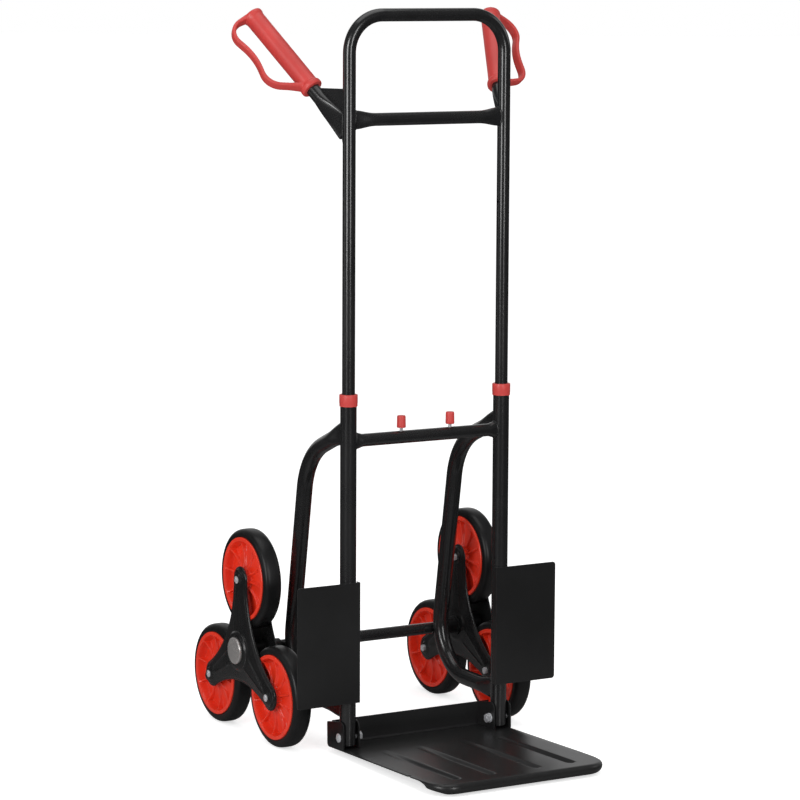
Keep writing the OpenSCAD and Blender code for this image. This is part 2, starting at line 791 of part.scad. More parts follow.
tyre(LEFT, TOP);  // tyre_left_top
rim(LEFT, FRONT);  // rim_left_front
tyre(LEFT, FRONT);  // tyre_left_front
rim(LEFT, REAR);  // rim_left_rear
tyre(LEFT, REAR);  // tyre_left_rear
rim(RIGHT, TOP);  // rim_right_top
tyre(RIGHT, TOP);  // tyre_right_top
rim(RIGHT, FRONT);  // rim_right_front
tyre(RIGHT, FRONT);  // tyre_right_front
rim(RIGHT, REAR);  // rim_right_rear
tyre(RIGHT, REAR);  // tyre_right_rear
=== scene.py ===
"""Looks for the stair climbing trolley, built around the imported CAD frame."""

import json
import math

import bmesh
import bpy
import numpy as np
from mathutils import Matrix, Vector


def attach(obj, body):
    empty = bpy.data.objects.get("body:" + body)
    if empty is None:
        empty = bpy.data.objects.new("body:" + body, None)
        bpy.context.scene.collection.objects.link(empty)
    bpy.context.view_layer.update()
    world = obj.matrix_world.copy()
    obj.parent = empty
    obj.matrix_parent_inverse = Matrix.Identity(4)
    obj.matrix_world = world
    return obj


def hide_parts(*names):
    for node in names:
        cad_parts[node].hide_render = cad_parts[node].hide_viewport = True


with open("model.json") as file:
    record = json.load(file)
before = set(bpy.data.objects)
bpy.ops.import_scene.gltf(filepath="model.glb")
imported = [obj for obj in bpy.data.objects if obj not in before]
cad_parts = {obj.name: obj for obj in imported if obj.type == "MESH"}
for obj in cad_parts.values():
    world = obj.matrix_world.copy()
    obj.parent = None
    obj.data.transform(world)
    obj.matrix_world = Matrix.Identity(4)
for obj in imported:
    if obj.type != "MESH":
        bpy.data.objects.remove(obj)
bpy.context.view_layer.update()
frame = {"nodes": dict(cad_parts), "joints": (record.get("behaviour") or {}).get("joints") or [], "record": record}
JOINTS = {j["name"]: j for j in frame["joints"]}

MM = 0.001
LEFT, RIGHT = -1, 1
NAMES = {LEFT: "left", RIGHT: "right"}

# The uprights' plane in metres, and the main sizes of the CAD model in millimetres. Each piece is modelled
# for the right side, with the uprights in the plane Y = 0, and add_mesh() puts it in place.
UPRIGHT_PLANE_Y = JOINTS["toe_fold"]["pos_m"][1]
HINGE_Z = JOINTS["toe_fold"]["pos_m"][2] / MM
WHEEL_X = JOINTS["star_right_spin"]["pos_m"][0] / MM
AXLE_Y = (JOINTS["star_right_spin"]["pos_m"][1] - UPRIGHT_PLANE_Y) / MM
AXLE_Z = JOINTS["star_right_spin"]["pos_m"][2] / MM
UPRIGHT_X = 138.0
OUTER_R = 12.7
INNER_R = 10.0
TUBE_WALL = 1.2
JOINT_GAP = 0.05
LOCK_Z = 494.5
UPPER_BAR_Z = 987.0
HANDLE_TOP_Z = 1145.0
HANDLE_BEND_R = 57.0
HANDLE_TRAVEL = 360.0
SLIDE_LOW_Z = 420.0
COLLAR_TOP_Z = 567.5
LOOP_PATH = [(0, 512), (131.5, 456.5), (195.4, 73), (0, 73)]
LOOP_BENDS = [0, 102, 83, 0]
STEM_ROOT = np.array([UPRIGHT_X, 0.0, 967.0])
STEM_TIP = np.array([216.2, 169.8, 1142.8])
STEM_DIR = (STEM_TIP - STEM_ROOT) / np.linalg.norm(STEM_TIP - STEM_ROOT)
STEM_R = 11.0
GRIP_LEN = 163.0
STRAP_TURN = math.radians(-2.5)
STRAP_CORNERS = [(8, 9.5), (57, 41), (42.5, 93.5), (54.5, 157.5), (8, 160)]
STRAP_BENDS = [0, 29, 100, 26.5, 0]
STAR_R = 114.4
WHEEL_ANGLES = {"top": 90, "front": 210, "rear": 330}
STAR_GAP = 17.6
WHEEL_R = 80.0
RIM_R = 67.0
RIM_HALF = 16.6
HUB_HALF = 17.2
OUTER_STAR_T = 8.4
INNER_STAR_T = 6.4
AXLE_R = 9.5
TOE_SLOPE = math.radians(1.6)


# ------------------------------------------------------------------ geometry helpers

def unit(v):
    v = np.asarray(v, float)
    return v / np.linalg.norm(v)


def smoothstep(a, b, x):
    t = np.clip((np.asarray(x, float) - a) / (b - a), 0, 1)
    return t * t * (3 - 2 * t)


def add_mesh(name, verts, faces, side=RIGHT, sharp=32, closed=True):
    """Makes an object from points in model millimetres, mirrored for the left side."""
    pts = np.asarray(verts, float).reshape(-1, 3).copy()
    pts[:, 0] *= side
    pts *= MM
    pts[:, 1] += UPRIGHT_PLANE_Y
    mesh = bpy.data.meshes.new(name)
    mesh.from_pydata(pts.tolist(), [], [list(map(int, f)) for f in faces])
    bm = bmesh.new()
    bm.from_mesh(mesh)
    bmesh.ops.remove_doubles(bm, verts=bm.verts, dist=1e-6)
    if closed:
        bmesh.ops.recalc_face_normals(bm, faces=bm.faces)
    bm.to_mesh(mesh)
    bm.free()
    shade(mesh, sharp)
    obj = bpy.data.objects.new(name, mesh)
    bpy.context.scene.collection.objects.link(obj)
    return obj


def shade(mesh, sharp):
    mesh.polygons.foreach_set("use_smooth", [True] * len(mesh.polygons))
    mesh.set_sharp_from_angle(angle=math.radians(sharp))
    mesh.update()


def apply_modifiers(obj):
    deps = bpy.context.evaluated_depsgraph_get()
    mesh = bpy.data.meshes.new_from_object(obj.evaluated_get(deps))
    obj.modifiers.clear()
    old = obj.data
    obj.data = mesh
    mesh.name = old.name
    bpy.data.meshes.remove(old)
    return obj


def join(name, objs):
    """Joins the meshes of several objects into one object."""
    bm = bmesh.new()
    for o in objs:
        bm.from_mesh(o.data)
    mesh = bpy.data.meshes.new(name)
    bm.to_mesh(mesh)
    bm.free()
    for o in objs:
        bpy.data.objects.remove(o)
    obj = bpy.data.objects.new(name, mesh)
    bpy.context.scene.collection.objects.link(obj)
    return obj


def bevel(obj, width, segments=2, angle=35):
    mod = obj.modifiers.new("Bevel", "BEVEL")
    mod.width = width * MM
    mod.segments = segments
    mod.limit_method = "ANGLE"
    mod.angle_limit = math.radians(angle)
    mod.use_clamp_overlap = True
    return obj


def round_path(points, radii, closed=False, step=12):
    """A 2D outline with its corners rounded, each by its own radius."""
    pts = [np.asarray(p, float) for p in points]
    n = len(pts)
    out = []
    for i, p in enumerate(pts):
        end = not closed and i in (0, n - 1)
        if end or radii[i] <= 0:
            out.append(p)
            continue
        a = unit(pts[i - 1] - p)
        b = unit(pts[(i + 1) % n] - p)
        half = math.acos(np.clip(a @ b, -1, 1)) / 2
        centre = p + unit(a + b) * radii[i] / math.sin(half)
        start = p + a * radii[i] / math.tan(half) - centre
        turn = np.sign(a[1] * b[0] - a[0] * b[1]) * (math.pi - 2 * half)
        count = max(2, int(math.degrees(abs(turn)) / step))
        for k in range(count + 1):
            c, s = math.cos(turn * k / count), math.sin(turn * k / count)
            out.append(centre + np.array([c * start[0] - s * start[1], s * start[0] + c * start[1]]))
    return np.array(out)


def lathe(profile, origin, axis, segments=72):
    """Points and faces of a surface turned about an axis. The profile holds (radius, height) pairs."""
    w = unit(axis)
    e = unit(np.cross(w, (0, 0, 1) if abs(w[2]) < 0.95 else (0, 1, 0.3)))
    f = np.cross(w, e)
    verts, rings, faces = [], [], []
    for r, h in profile:
        if r < 1e-6:
            rings.append([len(verts)] * segments)
            verts.append(np.asarray(origin) + h * w)
            continue
        rings.append(list(range(len(verts), len(verts) + segments)))
        for k in range(segments):
            t = 2 * math.pi * k / segments
            verts.append(np.asarray(origin) + r * (math.cos(t) * e + math.sin(t) * f) + h * w)
    for a, b in zip(rings, rings[1:]):
        for k in range(segments):
            quad = [a[k], a[(k + 1) % segments], b[(k + 1) % segments], b[k]]
            face = list(dict.fromkeys(quad))
            if len(face) > 2:
                faces.append(face)
    return verts, faces


def ring_lathe(profile, origin, axis, segments=72):
    """As lathe(), for a profile that closes on itself away from the axis."""
    return lathe(list(profile) + [profile[0]], origin, axis, segments)


def bent_path(points, radii, arc_step):
    """Points along a 3D polyline with rounded corners. Its straight stretches have no points between."""
    pts = [np.asarray(p, float) for p in points]
    trims = [0.0] * len(pts)
    for i in range(1, len(pts) - 1):
        a, b = unit(pts[i] - pts[i - 1]), unit(pts[i + 1] - pts[i])
        trims[i] = radii[i] * math.tan(math.acos(np.clip(a @ b, -1, 1)) / 2)
    out = []
    for i in range(len(pts) - 1):
        u = unit(pts[i + 1] - pts[i])
        b = pts[i + 1] - u * trims[i + 1]
        if i == 0:
            out.append(pts[0])
        out.append(b)
        if i + 2 < len(pts):
            v = unit(pts[i + 2] - pts[i + 1])
            angle = math.acos(np.clip(u @ v, -1, 1))
            toward = unit(v - u * (u @ v))
            centre = b + toward * radii[i + 1]
            steps = max(4, int(math.degrees(angle) / arc_step))
            for k in range(1, steps + 1):
                t = angle * k / steps
                out.append(centre + radii[i + 1] * (-math.cos(t) * toward + math.sin(t) * u))
    return np.array(out)


def tangents(path):
    d = np.gradient(path, axis=0)
    return d / np.linalg.norm(d, axis=1)[:, None]


def lengths(path):
    return np.concatenate([[0], np.cumsum(np.linalg.norm(np.diff(path, axis=0), axis=1))])


def resample(path, count, closed=False):
    """The same path with evenly spaced points."""
    if closed:
        path = np.vstack([path, path[:1]])
    s = lengths(path)
    grid = np.linspace(0, s[-1], count, endpoint=not closed)
    return np.stack([np.interp(grid, s, path[:, k]) for k in range(path.shape[1])], 1)


def band_faces(rings, size, closed=False):
    """Quads between rings of the same size, numbered one ring after another."""
    faces = []
    for i in range(rings if closed else rings - 1):
        a, c = i * size, (i + 1) % rings * size
        faces += [(a + k, a + (k + 1) % size, c + (k + 1) % size, c + k) for k in range(size)]
    return faces


def sweep(path, normal, section, capped=True):
    """Points and faces of a bar along a path. section(i) gives (along the normal, square to it) pairs."""
    verts = []
    for i, (p, t) in enumerate(zip(path, tangents(path))):
        n = unit(np.asarray(normal, float) - t * (np.asarray(normal, float) @ t))
        b = np.cross(t, n)
        ring = section(i)
        verts += [p + u * n + v * b for u, v in ring]
    size, rings = len(ring), len(path)
    faces = band_faces(rings, size)
    if capped:
        faces.append(tuple(range(size))[::-1])
        faces.append(tuple((rings - 1) * size + k for k in range(size)))
    return verts, faces


def prism(outline, heights, place):
    """Points and faces of a flat outline given a thickness. place(point, height) puts each point in space."""
    n = len(outline)
    verts = [place(p, h) for h in heights for p in outline]
    faces = [tuple(range(n))[::-1], tuple(range(n, 2 * n))]
    faces += [(k, (k + 1) % n, n + (k + 1) % n, n + k) for k in range(n)]
    return verts, faces


def cut_away(obj, cutters):
    """Takes the cutters out of an object with an exact boolean."""
    cutter = join("cutter", cutters)
    mod = obj.modifiers.new("Cut", "BOOLEAN")
    mod.operation = "DIFFERENCE"
    mod.solver = "EXACT"
    mod.object = cutter
    bpy.context.view_layer.update()
    apply_modifiers(obj)
    bpy.data.objects.remove(cutter)
    shade(obj.data, 35)


def oval(a, b, power=2.0, segments=40):
    """A closed ring between an ellipse (power 2) and a rounded box (higher powers)."""
    out = []
    for k in range(segments):
        t = 2 * math.pi * k / segments
        c, s = math.cos(t), math.sin(t)
        out.append((a * math.copysign(abs(c) ** (2 / power), c), b * math.copysign(abs(s) ** (2 / power), s)))
    return out


# ------------------------------------------------------------------ materials

def nodes_of(name):
    mat = bpy.data.materials.new(name)
    mat.use_nodes = True
    nt = mat.node_tree
    return mat, nt, nt.nodes["Principled BSDF"]


def link(nt, a, b):
    nt.links.new(a, b)


def noise(nt, coords, scale, detail=4, rough=0.55):
    n = nt.nodes.new("ShaderNodeTexNoise")
    n.inputs["Scale"].default_value = scale
    n.inputs["Detail"].default_value = detail
    n.inputs["Roughness"].default_value = rough
    link(nt, coords, n.inputs["Vector"])
    return n.outputs["Fac"]


def remap(nt, value, lo, hi, to_lo, to_hi):
    n = nt.nodes.new("ShaderNodeMapRange")
    n.inputs["From Min"].default_value = lo
    n.inputs["From Max"].default_value = hi
    n.inputs["To Min"].default_value = to_lo
    n.inputs["To Max"].default_value = to_hi
    link(nt, value, n.inputs["Value"])
    return n.outputs["Result"]


def math_node(nt, op, a, b):
    n = nt.nodes.new("ShaderNodeMath")
    n.operation = op
    for i, v in enumerate((a, b)):
        if isinstance(v, (int, float)):
            n.inputs[i].default_value = v
        else:
            link(nt, v, n.inputs[i])
    return n.outputs[0]


def mix_colour(nt, fac, a, b):
    n = nt.nodes.new("ShaderNodeMix")
    n.data_type = "RGBA"
    link(nt, fac, n.inputs["Factor"])
    for key, v in (("A", a), ("B", b)):
        socket = [s for s in n.inputs if s.name == key and s.type == "RGBA"][0]
        if isinstance(v, tuple):
            socket.default_value = (*v, 1)
        else:
            link(nt, v, socket)
    return [s for s in n.outputs if s.type == "RGBA"][0]


def edge_mask(nt, radius):
    """1 on edges sharper than the given radius, 0 on flats."""
    b = nt.nodes.new("ShaderNodeBevel")
    b.samples = 4
    b.inputs["Radius"].default_value = radius * MM
    g = nt.nodes.new("ShaderNodeNewGeometry")
    d = nt.nodes.new("ShaderNodeVectorMath")
    d.operation = "DOT_PRODUCT"
    link(nt, b.outputs["Normal"], d.inputs[0])
    link(nt, g.outputs["Normal"], d.inputs[1])
    return remap(nt, d.outputs["Value"], 0.99, 0.86, 0, 1)


def surface(name, colour, colour_2, rough, edge, metallic=0.0, coat=0.0, coat_rough=0.1, bump=0.3, grain=900.0,
            bump_mm=0.01, edge_radius=0.8, variation=9.0, rough_spread=0.06, specular=0.5):
    """A procedural surface: two tones of colour, grain and slow waviness as bump, and a painted highlight in
    patches along its edges.
    """
    mat, nt, bsdf = nodes_of(name)
    coord = nt.nodes.new("ShaderNodeTexCoord").outputs["Object"]
    broad = noise(nt, coord, variation, 3)
    fine = noise(nt, coord, grain, 5, 0.6)
    tone = mix_colour(nt, remap(nt, broad, 0.35, 0.65, 0, 1), colour, colour_2)
    tone = mix_colour(nt, math_node(nt, "MULTIPLY", remap(nt, fine, 0.4, 0.75, 0, 1), 0.25), tone, colour_2)
    roughness = math_node(nt, "ADD", remap(nt, broad, 0.3, 0.7, rough - rough_spread, rough + rough_spread),
                          remap(nt, fine, 0.3, 0.7, -rough_spread / 2, rough_spread / 2))
    # The edge colour is a painted highlight: a lighter colour laid along the edges in patches.
    edge_highlight_patches = noise(nt, coord, 160.0, 4, 0.65)
    edge_highlight_mask = math_node(nt, "MULTIPLY", edge_mask(nt, edge_radius), remap(nt, edge_highlight_patches, 0.42, 0.62, 0.15, 1))
    link(nt, mix_colour(nt, edge_highlight_mask, tone, edge), bsdf.inputs["Base Color"])
    link(nt, roughness, bsdf.inputs["Roughness"])
    bsdf.inputs["Metallic"].default_value = metallic
    bsdf.inputs["Coat Weight"].default_value = coat
    bsdf.inputs["Coat Roughness"].default_value = coat_rough
    bsdf.inputs["Specular IOR Level"].default_value = specular
    height = math_node(nt, "ADD", fine, math_node(nt, "MULTIPLY", broad, 0.6))
    b = nt.nodes.new("ShaderNodeBump")
    b.inputs["Strength"].default_value = bump
    b.inputs["Distance"].default_value = bump_mm * MM
    link(nt, height, b.inputs["Height"])
    link(nt, b.outputs["Normal"], bsdf.inputs["Normal"])
    return mat


# The fifth colour of each surface is its edge colour, a painted highlight lighter than the body.
PAINT = surface("gloss_black_paint", (0.0085, 0.0085, 0.009), (0.0115, 0.0115, 0.012), 0.27,
                (0.03, 0.03, 0.032), coat=0.6, coat_rough=0.14, bump=0.08, rough_spread=0.02)
PLATE = surface("satin_black_paint", (0.008, 0.008, 0.0083), (0.011, 0.011, 0.0113), 0.36,
                (0.05, 0.05, 0.052), coat=0.15, coat_rough=0.25, bump=0.12, grain=1200, variation=7,
                rough_spread=0.025)
STAR = surface("moulded_black", (0.0075, 0.0075, 0.0078), (0.011, 0.011, 0.0113), 0.28, (0.10, 0.10, 0.10),
               bump=0.4, grain=1100, bump_mm=0.02, edge_radius=1.0, variation=16)
PLASTIC = surface("black_plastic", (0.010, 0.010, 0.0105), (0.015, 0.015, 0.0155), 0.42, (0.05, 0.05, 0.052),
                  bump=0.4, grain=1000, bump_mm=0.02)
TYRE = surface("tyre_rubber", (0.006, 0.006, 0.0063), (0.010, 0.010, 0.0105), 0.36, (0.025, 0.025, 0.026),
               bump=0.4, grain=700, bump_mm=0.04, variation=20, specular=0.32)
RIM = surface("rim_red_plastic", (0.80, 0.036, 0.012), (0.72, 0.028, 0.009), 0.32, (0.88, 0.16, 0.10),
              coat=0.2, coat_rough=0.2, bump=0.25, bump_mm=0.02, variation=22)
GRIP = surface("grip_red_plastic", (0.56, 0.048, 0.042), (0.50, 0.040, 0.035), 0.42, (0.70, 0.12, 0.11),
               coat=0.1, coat_rough=0.35, bump=0.5, grain=1300, bump_mm=0.03, variation=18)
ZINC = surface("bright_zinc", (0.80, 0.81, 0.83), (0.66, 0.67, 0.70), 0.26, (0.85, 0.86, 0.88),
               metallic=0.62, grain=1500, variation=60)
CHROME = surface("satin_chrome", (0.60, 0.575, 0.56), (0.50, 0.48, 0.47), 0.30, (0.75, 0.74, 0.73),
                 metallic=0.72, bump=0.25, grain=1200, variation=40, rough_spread=0.05)
SPRING = surface("spring_steel", (0.50, 0.51, 0.53), (0.42, 0.43, 0.45), 0.30, (0.7, 0.7, 0.72),
                 metallic=1, grain=1500, variation=60)
WELD = surface("painted_weld", (0.006, 0.006, 0.0065), (0.009, 0.009, 0.0095), 0.30, (0.03, 0.03, 0.032),
               coat=0.4, coat_rough=0.15, bump=0.8, grain=500, bump_mm=0.08, variation=120)

SLOTS = {"black_paint": PAINT, "plate_paint": PLATE, "zinc": ZINC, "chrome": CHROME, "rim_red": RIM,
         "grip_red": GRIP, "black_plastic": PLASTIC, "tyre_black": TYRE, "spring_steel": SPRING}


def finish_piece(obj, body, slot, mat=None, replaces=()):
    """Gives a piece its material and body, and hides the CAD nodes it stands for."""
    obj.data.materials.clear()
    obj.data.materials.append(mat or SLOTS[slot])
    for p in obj.data.polygons:
        p.material_index = 0
    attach(obj, body)
    if replaces:
        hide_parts(*replaces)
    return obj


# ------------------------------------------------------------------ uprights, collars and handle

def weld_loop(name, curve, body, radius, seed):
    """A bead of overlapping ripples along a closed curve."""
    spacing, ripple, segments = 0.8, 3.1, 10
    curve = np.asarray(curve, float)
    total = lengths(np.vstack([curve, curve[:1]]))[-1]
    count = max(40, int(total / spacing))
    path = resample(curve, count, closed=True)
    centre = path.mean(0)
    along = np.roll(path, -1, 0) - np.roll(path, 1, 0)
    along /= np.linalg.norm(along, axis=1)[:, None]
    verts = []
    for i, (p, d) in enumerate(zip(path, along)):
        out = p - centre
        n = unit(out - d * (out @ d))
        b = np.cross(d, n)
        at = total * i / count
        wave = 0.1225 * math.sin(at / ripple * 2 * math.pi) + 0.12 * math.sin(at * 0.37 + seed * 2.3)
        r = radius * (1 + wave)
        verts += [p + u * n + v * b for u, v in oval(r, r, segments=segments)]
    obj = add_mesh(name, verts, band_faces(count, segments, closed=True), sharp=80)
    return finish_piece(obj, body, "black_paint", WELD)


def weld_strip(name, points, body, radius, seed):
    """A short open bead with rounded ends."""
    path = np.asarray(points, float)
    total = lengths(path)[-1]
    count = max(10, int(total / 0.8))
    path = resample(path, count)

    def section(i):
        t = i / (count - 1)
        end = math.sqrt(max(1 - (2 * t - 1) ** 8, 0.02))
        r = radius * end * (1 + 0.12 * math.sin(total * t * 2.0 + seed))
        return oval(r, r, segments=10)

    upright = abs(unit(path[-1] - path[0])[2]) > 0.9
    verts, faces = sweep(path, (1, 0, 0) if upright else (0, 0, 1), section)
    return finish_piece(add_mesh(name, verts, faces, sharp=80), body, "black_paint", WELD)


def build_handle():
    """The sliding tube: a U with open feet and two lock holes in the inner side of each leg."""
    path = bent_path(
        [(-UPRIGHT_X, 0, SLIDE_LOW_Z), (-UPRIGHT_X, 0, HANDLE_TOP_Z), (UPRIGHT_X, 0, HANDLE_TOP_Z),
         (UPRIGHT_X, 0, SLIDE_LOW_Z)], [0, HANDLE_BEND_R, HANDLE_BEND_R, 0], arc_step=3)
    size = 64
    skins = []
    for r in (INNER_R, INNER_R - TUBE_WALL):
        verts, faces = sweep(path, (0, 1, 0), lambda i: oval(r, r, segments=size), capped=False)
        skins.append((verts, faces))
    verts = skins[0][0] + skins[1][0]
    n = len(skins[0][0])
    faces = skins[0][1] + [tuple(n + k for k in f) for f in skins[1][1]]
    for foot in (0, n - size):
        for k in range(size):
            a, b = foot + k, foot + (k + 1) % size
            faces.append((a, b, n + b, n + a))
    tube = add_mesh("handle_tube_sweep", verts, faces)
    cutters = []
    drill = [(0, -6), (3, -6), (3, 6), (0, 6)]
    for side in (LEFT, RIGHT):
        for z in (LOCK_Z, LOCK_Z + HANDLE_TRAVEL):
            v, f = lathe(drill, (side * (UPRIGHT_X - INNER_R), 0, z), (1, 0, 0), 32)
            cutters.append(add_mesh("cut", v, f))
    cut_away(tube, cutters)
    finish_piece(tube, "handle", "black_paint", replaces=["handle_tube"])


def crossbar(name, z, end_z, end_y, reach, tube_r, body, slots=False):
    """A tube across, flattened and flared to end_z by end_y where it meets a tube of radius tube_r."""
    r, size = INNER_R, 48
    start = UPRIGHT_X - tube_r - reach
    half = [0, 40, 70] + list(np.linspace(start, UPRIGHT_X, 16))
    xs = sorted(set([-x for x in half] + half))

    def section(i):
        f = float(smoothstep(start, UPRIGHT_X - tube_r, abs(xs[i]))) ** 1.3
        return oval(r + (end_y - r) * f, r + (end_z - r) * f, 2 + 0.9 * f, size)

    verts, faces = sweep([np.array((x, 0, z)) for x in xs], (0, 1, 0), section)
    # The ends are cut to the upright's round, and the rings behind them stay in order.
    for ring in range(len(xs)):
        order = min(ring, len(xs) - 1 - ring)
        for p in verts[ring * size:(ring + 1) * size]:
            limit = UPRIGHT_X - math.sqrt(max((tube_r + JOINT_GAP) ** 2 - p[1] ** 2, 0)) - 0.02 * order
            if order == 0 or abs(p[0]) > limit:
                p[0] = math.copysign(limit, p[0])
    bar = add_mesh(f"{name}_tube", verts, faces)
    if slots:
        outline = round_path([(40.8, -3), (52.7, -3), (52.7, 3), (40.8, 3)], [2.9] * 4, closed=True, step=15)
        cutters = [add_mesh("cut", *prism(outline, (r - 4.5, r + 6), lambda p, h: (p[0], p[1], z + h)), side)
                   for side in (LEFT, RIGHT)]
        cut_away(bar, cutters)
    finish_piece(bar, body, "black_paint", replaces=[name])
    for side in (LEFT, RIGHT):
        curve = []
        for t in np.linspace(0, 2 * math.pi, 72, endpoint=False):
            y = end_y * math.cos(t)
            curve.append((side * (UPRIGHT_X - math.sqrt(tube_r ** 2 - y ** 2)), y, z + end_z * math.sin(t)))
        weld_loop(f"weld_{name}_tube_{NAMES[side]}", curve, body, 1.5, z + side)


def build_collars():
    r, bore, top = OUTER_R + 1.6, INNER_R + 0.12, COLLAR_TOP_Z
    low, seat = top - 18.5, top - 7.5
    profile = [(OUTER_R + 0.1, low + 0.4), (r - 0.6, low), (r - 0.25, low + 0.5), (r - 0.25, low + 4.6),
               (r, low + 5.2), (r, top - 1.2), (r - 0.35, top - 0.3), (r - 1.0, top), (INNER_R + 1.2, top),
               (INNER_R + 0.35, top - 0.7), (bore, top - 2), (bore, seat), (OUTER_R + 0.1, seat)]
    for side in (LEFT, RIGHT):
        v, f = ring_lathe(profile, (UPRIGHT_X, 0, 0), (0, 0, 1), 96)
        obj = add_mesh(f"collar_ring_{NAMES[side]}", v, f, side)
        finish_piece(obj, "frame", "grip_red", replaces=[f"collar_{NAMES[side]}"])


def build_knobs():
    low = LOCK_Z + INNER_R + 5
    profile = [(0, low + 0.2), (5.2, low + 0.2), (6.6, low), (7.05, low + 0.7), (7.0, low + 4),
               (6.75, low + 16), (6.6, low + 17.9), (5.9, low + 18.8), (4.2, low + 19), (0, low + 18.85)]
    for side in (LEFT, RIGHT):
        v, f = lathe(profile, (44, 0, 0), (0, 0, 1), 64)
        obj = add_mesh(f"knob_{NAMES[side]}", v, f, side, sharp=40)
        finish_piece(obj, f"lock_{NAMES[side]}", "grip_red", replaces=[f"lock_knob_{NAMES[side]}"])


# ------------------------------------------------------------------ side loops

def loop_points():
    """The loop's centre line, from the upper weld down and round to the lower weld, finer near both welds."""
    steps = [8, 10, 12, 15, 18, 22, 26, 30, 35, 40, 46, 52, 60]
    pts = [np.array((UPRIGHT_X, y, z)) for y, z in LOOP_PATH]
    u = unit(pts[1] - pts[0])
    low = LOOP_PATH[3][1]
    middle = bent_path([pts[0] + u * steps[-1], pts[1], pts[2], (UPRIGHT_X, steps[-1], low)], LOOP_BENDS, 3)
    end = [(UPRIGHT_X, s, low) for s in steps[-2::-1]]
    return np.vstack([[pts[0] + u * s for s in steps], middle[1:], end])


def build_side_loops():
    path = loop_points()
    s = lengths(path)
    total = s[-1]
    end_z, end_x = 16.6, 6.3
    size, trimmed = 56, 6

    def section(i):
        f = (1 - float(smoothstep(6, 44, min(s[i], total - s[i])))) ** 0.8
        return oval(OUTER_R + (end_x - OUTER_R) * f, OUTER_R + (end_z - OUTER_R) * f, 2 + 1.1 * f, size)

    verts, faces = sweep(path, (1, 0, 0), section)
    # The rings next to the upright are pushed out of it along the loop.
    along = tangents(path)
    for ring in range(len(path)):
        order = min(ring, len(path) - 1 - ring)
        if order >= trimmed:
            continue
        d = along[ring] * (1 if ring < trimmed else -1)
        for p in verts[ring * size:(ring + 1) * size]:
            gap = OUTER_R + JOINT_GAP + 0.03 * order
            limit = math.sqrt(max(gap ** 2 - (p[0] - UPRIGHT_X) ** 2, 0.04))
            if p[1] < limit:
                p += d * ((limit - p[1]) / d[1])
    slope = (LOOP_PATH[1][1] - LOOP_PATH[0][1]) / LOOP_PATH[1][0]
    for side in (LEFT, RIGHT):
        obj = add_mesh(f"side_loop_tube_{NAMES[side]}", verts, faces, side)
        finish_piece(obj, "frame", "black_paint", replaces=[f"side_loop_{NAMES[side]}"])
        for label, (y, z), rise, taller in (("upper", LOOP_PATH[0], slope, 1.08), ("lower", LOOP_PATH[3], 0, 1)):
            curve = []
            for a in np.linspace(0, 2 * math.pi, 80, endpoint=False):
                dx = end_x * math.cos(a)
                y = math.sqrt(OUTER_R ** 2 - dx ** 2)
                curve.append((side * (UPRIGHT_X + dx), y, z + rise * y + end_z * math.sin(a) * taller))
            weld_loop(f"weld_loop_{label}_{NAMES[side]}", curve, "frame", 1.6, z + side)


# ------------------------------------------------------------------ grips and their stems

def strap_plane():
    """Two directions across the stem's axis. The first one points from the grip to the hand guard."""
    e = unit((STEM_DIR[2], 0, -STEM_DIR[0]))
    f = np.cross(STEM_DIR, e)
    c, s = math.cos(STRAP_TURN), math.sin(STRAP_TURN)
    return c * e + s * f, c * f - s * e


def stem_plane():
    """The level direction in which the stem leans out, and the direction square to it."""
    d = unit((STEM_DIR[0], STEM_DIR[1], 0))
    return d, np.array([-d[1], d[0], 0])


def build_stems():
    """Each stem's lower end is pressed flat into a fan that stands on edge against the sliding tube."""
    w = STEM_DIR
    length = np.linalg.norm(STEM_TIP - STEM_ROOT)
    foot = length - GRIP_LEN
    stations = [5] + list(range(8, 64, 4)) + [66, 74, foot, foot + 60, length - 12]
    path = np.array([STEM_ROOT + w * s for s in stations])
    size, trimmed = 56, 6

    def section(i):
        # The height grows steadily towards the tube, and the sides are pressed in more quickly.
        grow = float(np.clip((78 - stations[i]) / 70, 0, 1))
        flat = float(smoothstep(78, 26, stations[i]))
        return oval(STEM_R - 6 * flat, STEM_R + 7 * grow, 2 + 3.2 * flat, size)

    verts, faces = sweep(path, np.cross(w, (0, 0, 1)), section)
    # The rings next to the sliding tube are pushed out of it along the stem.
    for ring in range(trimmed):
        gap = INNER_R + 0.06 + 0.03 * ring
        for p in verts[ring * size:(ring + 1) * size]:
            q = p[:2] - (UPRIGHT_X, 0)
            a, b, c = w[:2] @ w[:2], q @ w[:2], q @ q - gap ** 2
            slide = (math.sqrt(max(b * b - a * c, 0)) - b) / a
            if b * b > a * c and slide > 0:
                p += w * slide
    d, n = stem_plane()
    slope = w[2] / math.hypot(w[0], w[1])
    curve = []
    for t in np.linspace(0, 2 * math.pi, 80, endpoint=False):
        up, off = 18.0 * math.sin(t), 5.2 * math.cos(t)
        reach = math.sqrt(INNER_R ** 2 - off ** 2)
        curve.append(STEM_ROOT + d * reach + n * off + (0, 0, reach * slope + up * math.sqrt(1 + slope ** 2)))
    for side in (LEFT, RIGHT):
        obj = add_mesh(f"grip_stem_tube_{NAMES[side]}", verts, faces, side)
        finish_piece(obj, "handle", "black_paint", replaces=[f"grip_stem_{NAMES[side]}"])
        weld_loop(f"weld_stem_{NAMES[side]}", np.array(curve) * (side, 1, 1), "handle", 1.5, 2.0 + side)


